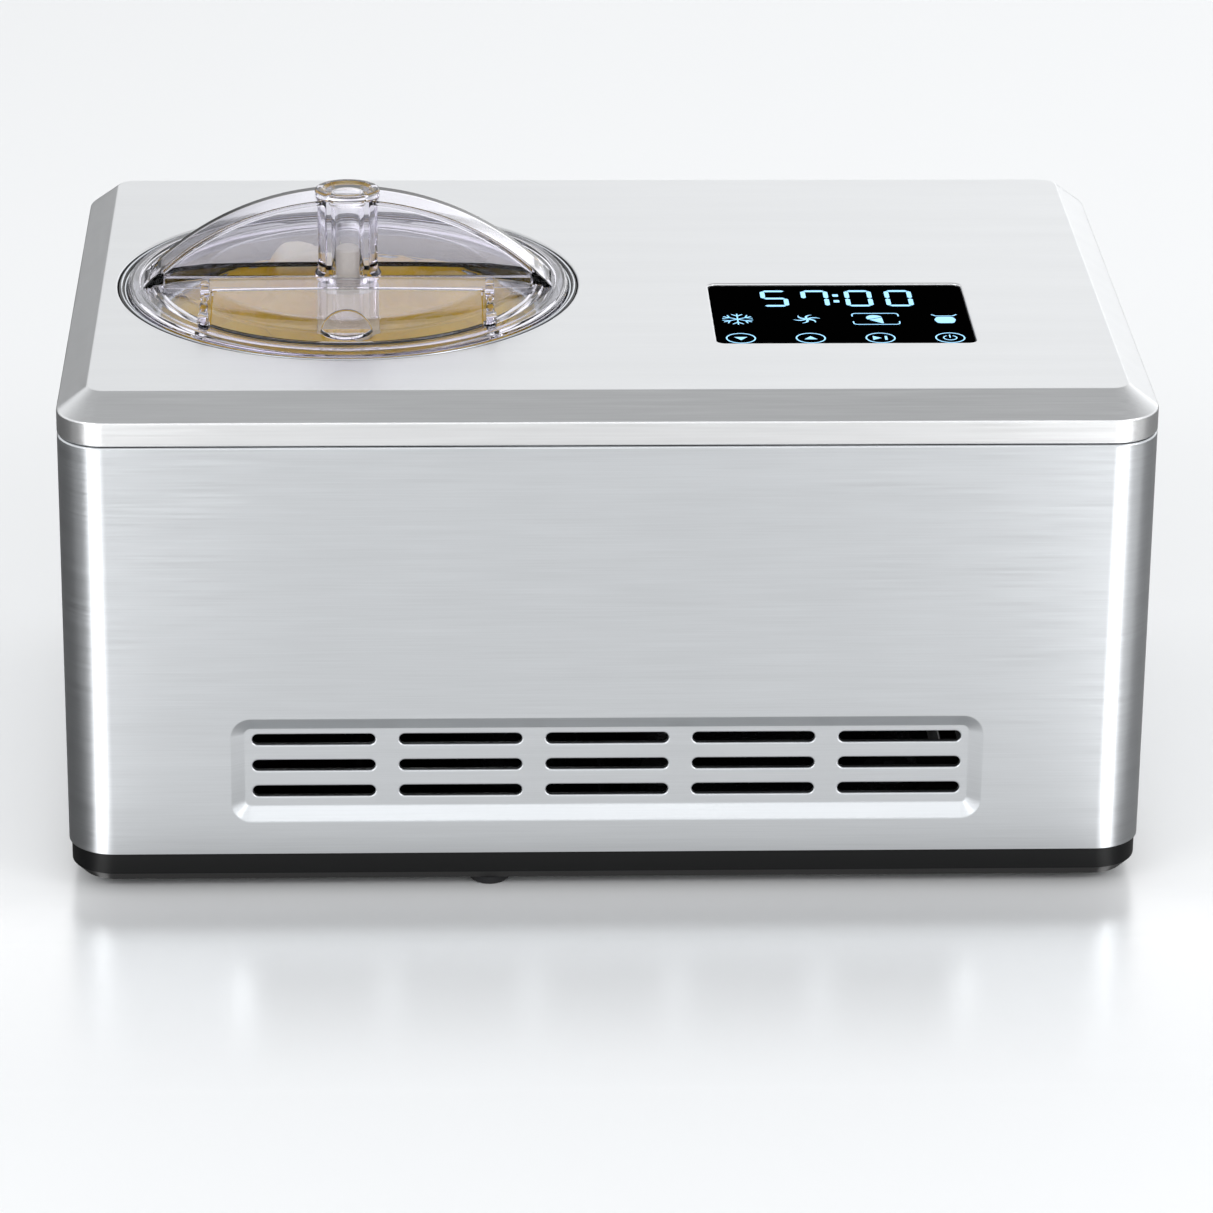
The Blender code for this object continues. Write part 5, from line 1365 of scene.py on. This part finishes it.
@dataclass
class IceCream:
    """The bucket's contents, a prop: churned custard heaped behind the paddle's hub."""

    radius: float = 79.2 * MM
    hub: float = 12.7 * MM
    level: float = 186.5 * MM
    highest: float = 205 * MM
    rings: int = 90
    spokes: int = 220
    seed: int = 7

    def height(self, x: float, y: float) -> float:
        """Height of the surface over a place in the bucket, both from its axis."""
        lumps = ((-20, 56, 15, 13), (-8, 50, 12, 8), (-46, 34, 17, 9), (-62, 8, 14, 7), (-44, -14, 15, 8),
                 (-26, 18, 13, 6), (-58, -34, 14, 7), (-30, -44, 15, 5), (16, 46, 20, 6), (44, 34, 20, 8),
                 (62, 4, 13, 7), (36, -6, 17, 5), (52, -36, 16, 6), (14, -34, 16, 4), (-4, -60, 18, 3))
        warp = noise.noise_vector(Vector((x * 45, y * 45, 3.0))) * 7 * MM
        wx, wy = x + warp.x, y + warp.y
        z = self.level + 0.07 * y
        for cx, cy, spread, rise in lumps:
            away = math.hypot(wx / MM - cx, wy / MM - cy) / spread
            z += rise * MM * max(0.0, 1.0 - away ** 2.2) ** 0.8
        broad = noise.fractal(Vector((x * 24, y * 24, 1.0)), 0.8, 2.1, 3)
        crack = noise.ridged_multi_fractal(Vector((wx * 26, wy * 26, 5.0)), 0.9, 2.1, 4, 1.0, 2.0)
        fine = noise.fractal(Vector((x * 150, y * 150, 7.0)), 0.7, 2.1, 3)
        return z + 1.6 * MM * broad - 1.1 * MM * max(0.0, crack - 1.2) + 0.5 * MM * fine

    def build(self) -> None:
        """Builds the surface of the ice cream."""
        noise.seed_set(self.seed)
        axis = well_axis()
        inner, rings = self.hub, []
        for ring in range(self.rings + 1):
            radius = inner + (self.radius - inner) * ring / self.rings
            points = []
            for x, y in circle(radius, self.spokes):
                z = min(self.height(x, y), self.highest - 0.05 * radius)
                points.append((axis.x + x, axis.y + y, z))
            rings.append(points)
        for radius in (self.radius, inner):
            rings.append([(axis.x + x, axis.y + y, 100 * MM) for x, y in circle(radius, self.spokes)])
        surface = Surface()
        surface.rings(rings, close=True)
        mesh = surface.mesh()
        mesh.shade_smooth()
        mesh.materials.append(CUSTARD.material())
        made = as_object("ice_cream", mesh)
        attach(made, Body.BUCKET.value)


# ---------------------------------------------------------------- lid and flap

@dataclass
class ClearLid:
    """Clear lid: shallow dome and skirt, hollow grip across it, post, and the refill flap."""

    radius: float = 89 * MM
    wall: float = 2 * MM
    grip_half: float = 10 * MM
    grip_radius: float = 110.7 * MM
    grip_span: float = 82.3 * MM
    grip_rise: float = 38 * MM
    grip_wall: float = 2.2 * MM
    hollow_span: float = 74.2 * MM
    bore: float = 6.6 * MM
    flap_half: float = 54 * MM
    flap_rear: float = -23.2 * MM
    flap_radius: float = 78.5 * MM
    flap_axis: Pair = (-25.5 * MM, 4.0 * MM)
    tab_y: float = -70.0 * MM
    tab_radius: float = 10.3 * MM
    gap: float = 0.5 * MM
    dome: tuple[Pair, ...] = ((0.0, 5.8), (30.0, 5.6), (58.0, 5.0), (70.0, 3.6), (78.9, 1.9))
    rim: tuple[Pair, ...] = ((79.6, 0.9), (83.6, 0.8), (84.3, 1.9), (87.6, 1.9), (89.0, 0.6),
                             (89.0, -8.2), (87.0, -8.2), (87.0, -0.9), (81.5, -0.9), (81.5, -2.8),
                             (75.5, -2.8), (75.5, 0.5))

    def seat(self) -> Vector:
        """The lid's own origin: the well's axis at the height of the cover's top."""
        axis = well_axis()
        return Vector((axis.x, axis.y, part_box("top_cover")[1].z))

    def dome_top(self) -> list[Pair]:
        """Radius and height of the points along the dome's upper face."""
        return in_mm(self.dome)

    def shell(self) -> bpy.types.Mesh:
        """The dome with its beaded rim and skirt, and the rib under it."""
        top = self.dome_top()
        under = [(r, z - self.wall) for r, z in top[:4]]
        rim = in_mm(self.rim)
        smooth = rounded(top + rim, 0.5 * MM, 3) + rounded([rim[-1]] + under[::-1], 30 * MM, 5)[1:]
        return Surface().turned(smooth, 144, self.seat(), close=False).mesh()

    def grip_block(self, radius: float, span: float, half: float, foot: float, edge: float) -> bpy.types.Mesh:
        """A crescent block across the lid.

        Args:
            radius: Radius of its upper arc.
            span: Half its length.
            half: Half its width.
            foot: Height of its lower face.
            edge: Radius of its upper edges.

        Returns:
            The block's mesh, in place.
        """
        reach = math.degrees(math.asin(span / radius))
        drop = self.grip_radius - self.grip_rise
        outline = [(span, foot), *arc((0.0, -drop), radius, 90 - reach, 90 + reach, 64), (-span, foot)]
        place = Matrix.Translation(self.seat()) @ UPRIGHT
        return Surface().slab([outline], -half, half, edge, 4, place).mesh()

    def post(self) -> bpy.types.Mesh:
        """The post in the middle, a little oval, flared at both ends."""
        profile = [(0.0, 39.2), (8.5, 39.3), (10.0, 40.0), (13.1, 40.0), (13.1, 36.2), (12.1, 34.0),
                   (12.0, 10.0), (12.2, 6.5), (13.4, 4.6), (13.4, 0.8), (0.0, 0.8)]
        points = in_mm(profile)
        mesh = Surface().turned(rounded(points, 1.2 * MM, 4), 64, close=False).mesh()
        mesh.transform(Matrix.Translation(self.seat()) @ Matrix.Diagonal((1.0, 0.92, 1.0, 1.0)))
        return mesh

    def post_bore(self) -> bpy.types.Mesh:
        """The blind bore that takes the paddle's pin."""
        surface = Surface()
        profile = [(0.0, 36.0), (self.bore / MM, 36.0), (self.bore / MM, -6.0), (0.0, -6.0)]
        surface.turned(rounded(in_mm(profile), 1.5 * MM, 4), 48, self.seat(), close=False)
        return surface.mesh()

    def flap_prism(self, shrink: float, low: float, high: float) -> bpy.types.Mesh:
        """Upright block with the flap's outline.

        Args:
            shrink: How far its sides lie inside the opening's.
            low: Height of its lower face.
            high: Height of its upper face.

        Returns:
            The block's mesh, in place.
        """
        half, rear, radius = self.flap_half - shrink, self.flap_rear - 2 * shrink, self.flap_radius - shrink
        reach = math.degrees(math.asin(half / radius))
        outline = [(half, rear), (-half, rear), *arc((0.0, 0.0), radius, 270 - reach, 270 + reach, 48)]
        return Surface().slab([outline], low, high, place=Matrix.Translation(self.seat())).mesh()

    def rails(self) -> list[bpy.types.Mesh]:
        """Hinge ears and the low rails beside the flap."""
        seat = self.seat()
        made = []
        for side in (-1, 1):
            middle = side * 56.8 * MM
            blocks = (((-1.8, -31.5, 1.5), (1.8, -20.5, 9.0)), ((-1.1, -60.0, 0.4), (1.1, -30.5, 5.0)),
                      ((-1.9, -60.5, 0.4), (2.4, -53.5, 6.2)), ((-1.6, -46.0, 0.4), (1.6, -42.0, 6.6)))
            for first, last in blocks:
                corners = [seat + Vector((middle + x * MM, y * MM, z * MM)) for x, y, z in (first, last)]
                made.append(Surface().box(*corners, 0.8 * MM).mesh())
        return made

    def build_lid(self) -> None:
        """Builds the lid."""
        wall = self.grip_wall
        grip = self.grip_block(self.grip_radius, self.grip_span, self.grip_half, -0.7 * MM, 0.7 * MM)
        hollow = self.grip_block(self.grip_radius - wall, self.hollow_span, self.grip_half - wall, -6 * MM,
                                 0.6 * MM)
        mesh = combined(self.shell(), grip, Operation.JOIN)
        mesh = combined(mesh, hollow, Operation.CUT)
        mesh = combined(mesh, self.post(), Operation.JOIN)
        mesh = combined(mesh, self.post_bore(), Operation.CUT)
        mesh = combined(mesh, self.flap_prism(0.0, -1.1 * MM, 12 * MM), Operation.CUT)
        for rail in self.rails():
            mesh = combined(mesh, rail, Operation.JOIN)
        middle = self.seat() + Vector((0.0, *self.flap_axis))
        reach = Vector((58.6 * MM, 0.0, 0.0))
        pin_hole = Surface().tube([middle - reach, middle, middle + reach], 1.6 * MM, 16)
        mesh = combined(mesh, pin_hole.mesh(), Operation.CUT)
        make_piece("lid_moulding", mesh, CLEAR_SAN, Body.LID, ["clear_lid"], sharp=30)

    def build_flap(self) -> None:
        """Builds the flap with its pins and finger tab."""
        seat = self.seat()
        top = self.dome_top()
        under = [(r, z - self.wall) for r, z in top]
        profile = rounded(top, 30 * MM, 5) + rounded(under[::-1], 30 * MM, 5)
        mesh = Surface().turned(profile, 144, seat, close=False).mesh()
        mesh = combined(mesh, self.flap_prism(self.gap, -10 * MM, 12 * MM), Operation.KEEP)
        half = Vector((2.6 * MM, 0.0, 0.0))
        for side in (-1, 1):
            middle = seat + Vector((side * 54.6 * MM, *self.flap_axis))
            pin = Surface().tube([middle - half, middle, middle + half], 1.1 * MM, 16)
            mesh = combined(mesh, pin.mesh(), Operation.JOIN)
        place = Matrix.Translation(seat + Vector((0.0, self.tab_y, 0.0)))
        tab = Surface().slab([arc((0.0, 2.4 * MM), self.tab_radius, 0, 180, 28)], -1.0 * MM, 1.0 * MM,
                             0.6 * MM, 3, place @ UPRIGHT)
        mesh = combined(mesh, tab.mesh(), Operation.JOIN)
        lip = Surface().slab([arc((0.0, 1.0 * MM), self.tab_radius, 180, 360, 28)], 2.9 * MM, 4.9 * MM,
                             0.9 * MM, 4, place)
        mesh = combined(mesh, lip.mesh(), Operation.JOIN)
        make_piece("flap_moulding", mesh, CLEAR_SAN, Body.FLAP, ["refill_flap"], sharp=30)


# ---------------------------------------------------------------- cold side

@dataclass
class Condenser:
    """Finned block with end plates and rows of straight tubes."""

    fin_pitch: float = 2.2 * MM
    fin: float = 0.3 * MM
    fin_heights: Pair = (16 * MM, 164 * MM)
    plate: float = 3 * MM
    tube_rows: int = 6
    tube_heights: Pair = (28 * MM, 152 * MM)

    def build(self, repeat: Repeat) -> None:
        """Builds the condenser."""
        low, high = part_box("condenser")
        plate, half = self.plate, self.fin / 2
        sheet = Surface().box((-half, low.y, self.fin_heights[0]), (half, high.y, self.fin_heights[1]))
        count = int((high.x - low.x - 2 * plate) / self.fin_pitch)
        start = ((low.x + high.x) / 2 - (count - 1) * self.fin_pitch / 2, 0.0, 0.0)
        mesh = repeat.mesh(sheet.mesh(), [start], FIN_ALUMINIUM, count,
                           (self.fin_pitch, 0.0, 0.0))
        make_piece("condenser_fins", mesh, FIN_ALUMINIUM, Body.HOUSING, ["condenser"])
        ends = Surface()
        for x in (low.x, high.x - plate):
            ends.box((x, low.y + 2 * MM, low.z), (x + plate, high.y - 2 * MM, high.z), 0.6 * MM)
        make_piece("condenser_ends", ends.mesh(), ZINC_PLATE, Body.HOUSING)
        rods = Surface()
        lowest, highest = self.tube_heights
        for row in range(self.tube_rows):
            z = lowest + row * (highest - lowest) / (self.tube_rows - 1)
            for y in (low.y + 8 * MM, high.y - 8 * MM):
                rods.tube([Vector((low.x, y, z)), Vector((high.x, y, z))], 3 * MM, 12)
        make_piece("condenser_tubes", rods.mesh(), DRAWN_COPPER, Body.HOUSING)


@dataclass
class InnerParts:
    """The nodes of the frame that keep their shape and get their finishes."""

    own: dict[str, Finish] = field(default_factory=lambda: {
        "gearbox_housing": BLACK_ABS, "gearbox_cover": BLACK_ABS, "board_bracket": BLACK_ABS,
        "mixer_motor": STOVED_ENAMEL, "drive_shaft": BRIGHT_STEEL})

    def build(self) -> None:
        """Gives each node of the frame its own finish, or else its slot's."""
        slots = {row["node"]: row["material_slot"] for row in frame["record"]["subparts"]}
        for name, node in frame["nodes"].items():
            finish = self.own.get(name) or BY_SLOT[slots[name]]
            for place in node.material_slots:
                place.material = finish.material()
            LOG.info("%s: %s", name, finish.name)


# ---------------------------------------------------------------- studio

@dataclass
class Studio:
    """Camera, pale floor, white surroundings and soft lamps."""

    camera_place: tuple[float, float, float] = (-77.26 * MM, -2031.9 * MM, 904.5 * MM)
    yaw: float = -2.31
    pitch: float = 22.48
    roll: float = 0.62
    lens: float = 156.8
    floor_half: float = 6.0
    corner: Pair = (193.5 * MM, 123.5 * MM)
    glow: tuple[tuple[Pair, ...], ...] = (
        ((0.0, 0.95), (16.0, 0.95), (21.0, 4.2), (38.0, 4.2), (46.0, 0.3), (57.0, 0.3)),
        ((0.0, 0.95), (16.0, 0.95), (21.0, 4.2), (38.0, 4.2), (46.0, 0.55), (57.0, 0.75)))

    def camera(self) -> None:
        """Stands the camera in front, a little above, looking slightly down."""
        yaw, pitch, roll = (math.radians(angle) for angle in (self.yaw, self.pitch, self.roll))
        right = Vector((math.cos(yaw), math.sin(yaw), 0.0))
        level = Vector((-math.sin(yaw), math.cos(yaw), 0.0))
        up = Vector((0.0, 0.0, 1.0))
        ahead = level * math.cos(pitch) - up * math.sin(pitch)
        rise = up * math.cos(pitch) + level * math.sin(pitch)
        tilt = Matrix.Rotation(-roll, 3, ahead)
        right, rise = tilt @ right, tilt @ rise
        lens = bpy.data.cameras.new("camera")
        lens.lens = self.lens
        lens.sensor_width = 36.0
        made = bpy.data.objects.new("camera", lens)
        made.matrix_world = (Matrix.Translation(self.camera_place)
                             @ Matrix((right, rise, -ahead)).transposed().to_4x4())
        bpy.context.scene.collection.objects.link(made)
        bpy.context.scene.camera = made

    def plane(self, name: str, height: float) -> tuple[bpy.types.Object, bpy.types.NodeTree]:
        """Lays a wide level sheet with a new material.

        Args:
            name: Name of the sheet and its material.
            height: Its height.

        Returns:
            The sheet and its material's tree.
        """
        surface = Surface()
        h = self.floor_half
        corners = ((-h, -h, height), (h, -h, height), (h, h, height), (-h, h, height))
        surface.bm.faces.new([surface.bm.verts.new(corner) for corner in corners])
        made = as_object(name, surface.mesh())
        paint = bpy.data.materials.new(name)
        paint.use_nodes = True
        made.data.materials.append(paint)
        return made, paint.node_tree

    def floor(self) -> None:
        """Lays a white table top that mirrors only what stands close to it."""
        tree = self.plane("table_top", 0.0)[1]
        shader = tree.nodes["Principled BSDF"]
        shader.inputs["Base Color"].default_value = srgb("#F6F7F8")
        shader.inputs["Roughness"].default_value = 0.55
        y = coordinates(tree)["Y"]
        near = worked(tree, "MULTIPLY", ranged(tree, y, (-0.31, -0.17), (0.0, 0.6)),
                      ranged(tree, y, (-0.185, -0.145), (1.0, 0.35)))
        mirror = add_node(tree, "ShaderNodeBsdfGlossy", {"Color": srgb("#FFFFFF"), "Roughness": 0.24})
        both = add_node(tree, "ShaderNodeMixShader", {0: near, 1: shader.outputs["BSDF"],
                                                      2: mirror.outputs["BSDF"]})
        tree.links.new(both.outputs["Shader"], tree.nodes["Material Output"].inputs["Surface"])

    def glow_sheet(self) -> None:
        """Lays what the steel mirrors: even light ahead, brighter past each corner, dull beside, and painted
        shade close in front.

        It lies on the table top and only mirror-like reflections see it, from above.
        """
        made, tree = self.plane("reflected_light", 0.4 * MM)
        made.visible_camera = made.visible_diffuse = made.visible_shadow = False
        made.visible_transmission = made.visible_volume_scatter = False
        axes = coordinates(tree)
        out = worked(tree, "SUBTRACT", worked(tree, "ABSOLUTE", axes["X"]), self.corner[0])
        ahead = worked(tree, "SUBTRACT", -self.corner[1], axes["Y"])
        turn = worked(tree, "ARCTAN2", out, ahead)
        levels = []
        for side in self.glow:
            ramp = add_node(tree, "ShaderNodeValToRGB", {"Fac": turn})
            steps = ramp.color_ramp.elements
            for index, (angle, light) in enumerate(side):
                step = steps[index] if index < 2 else steps.new(1.0)
                step.position = math.radians(angle)
                step.color = (light, light, light, 1.0)
            levels.append(ramp.outputs["Color"])
        right = worked(tree, "GREATER_THAN", axes["X"])
        level = add_node(tree, "ShaderNodeMix", {"Factor": right, "A": levels[0], "B": levels[1]},
                         data_type="RGBA")
        # Dimmer right in front of the machine: painted shade, standing for the darker table at its foot as
        # the steel mirrors it
        close = ranged(tree, axes["Y"], (-0.20, -0.15), (1.0, 0.35))
        lit = add_node(tree, "ShaderNodeEmission", {"Color": level.outputs["Result"], "Strength": close})
        under = add_node(tree, "ShaderNodeNewGeometry").outputs["Backfacing"]
        clear = add_node(tree, "ShaderNodeBsdfTransparent")
        one_way = add_node(tree, "ShaderNodeMixShader", {0: under, 1: lit.outputs["Emission"],
                                                         2: clear.outputs["BSDF"]})
        tree.nodes.remove(tree.nodes["Principled BSDF"])
        tree.links.new(one_way.outputs["Shader"], tree.nodes["Material Output"].inputs["Surface"])

    def surroundings(self) -> None:
        """Lights the room softly: bright level with the table, duller overhead and low behind on the left."""
        world = bpy.data.worlds.new("studio")
        bpy.context.scene.world = world
        world.use_nodes = True
        tree = world.node_tree
        axes = coordinates(tree, "Generated")
        overhead = ranged(tree, axes["Z"], (0.25, 0.9), (1.3, 0.55), smooth=True)
        across = ranged(tree, axes["X"], (-0.32, 0.32), (0.30, 1.8), smooth=True)
        share = worked(tree, "MULTIPLY", ranged(tree, axes["Z"], (0.16, 0.30), (1.0, 0.0)),
                       ranged(tree, axes["Y"], (0.6, 0.85)))
        level = add_node(tree, "ShaderNodeMix", {"Factor": share, "A": overhead, "B": across})
        seen = add_node(tree, "ShaderNodeLightPath").outputs["Is Camera Ray"]
        power = add_node(tree, "ShaderNodeMix", {"Factor": seen, "A": level.outputs["Result"], "B": 1.05})
        back = tree.nodes["Background"]
        back.inputs["Color"].default_value = srgb("#FDFEFF")
        tree.links.new(power.outputs["Result"], back.inputs["Strength"])

    def lamp(self, name: str, place: Sequence[float], size: Pair, power: float,
             target: Sequence[float] = (0.0, 0.0, 0.12)) -> None:
        """Hangs a soft rectangular lamp.

        Args:
            name: Name of the lamp.
            place: Where it hangs.
            size: Its width and height.
            power: Its power in watts.
            target: Where it points.
        """
        light = bpy.data.lights.new(name, "AREA")
        light.shape = "RECTANGLE"
        light.size, light.size_y = size
        light.energy = power
        made = bpy.data.objects.new(name, light)
        made.location = place
        made.rotation_euler = (Vector(target) - Vector(place)).to_track_quat("-Z", "Y").to_euler()
        made.visible_camera = False
        bpy.context.scene.collection.objects.link(made)

    def build(self) -> None:
        """Sets up the studio."""
        bpy.context.scene.view_settings.view_transform = "Standard"
        self.camera()
        self.floor()
        self.glow_sheet()
        self.surroundings()
        self.lamp("soft_left", (-1.4, -1.5, 1.3), (0.9, 0.9), 9.0)
        self.lamp("soft_right", (1.5, -1.2, 1.1), (0.9, 0.9), 9.0)
        self.lamp("soft_front", (0.0, -1.7, 1.6), (1.8, 0.35), 4.5)


def main() -> None:
    """Builds the machine and its studio."""
    InnerParts().build()
    repeat = Repeat()
    HousingWall().build()
    CoverPan().build()
    BaseTray().build()
    Feet().build(repeat)
    Fasteners().build(repeat)
    RearGrille().build(repeat)
    MainsInlet().build(repeat)
    ControlPanel().build()
    Well().build()
    Bucket().build()
    IceCream().build()
    lid = ClearLid()
    lid.build_lid()
    lid.build_flap()
    Condenser().build(repeat)
    Studio().build()


if __name__ == "__main__":
    main()
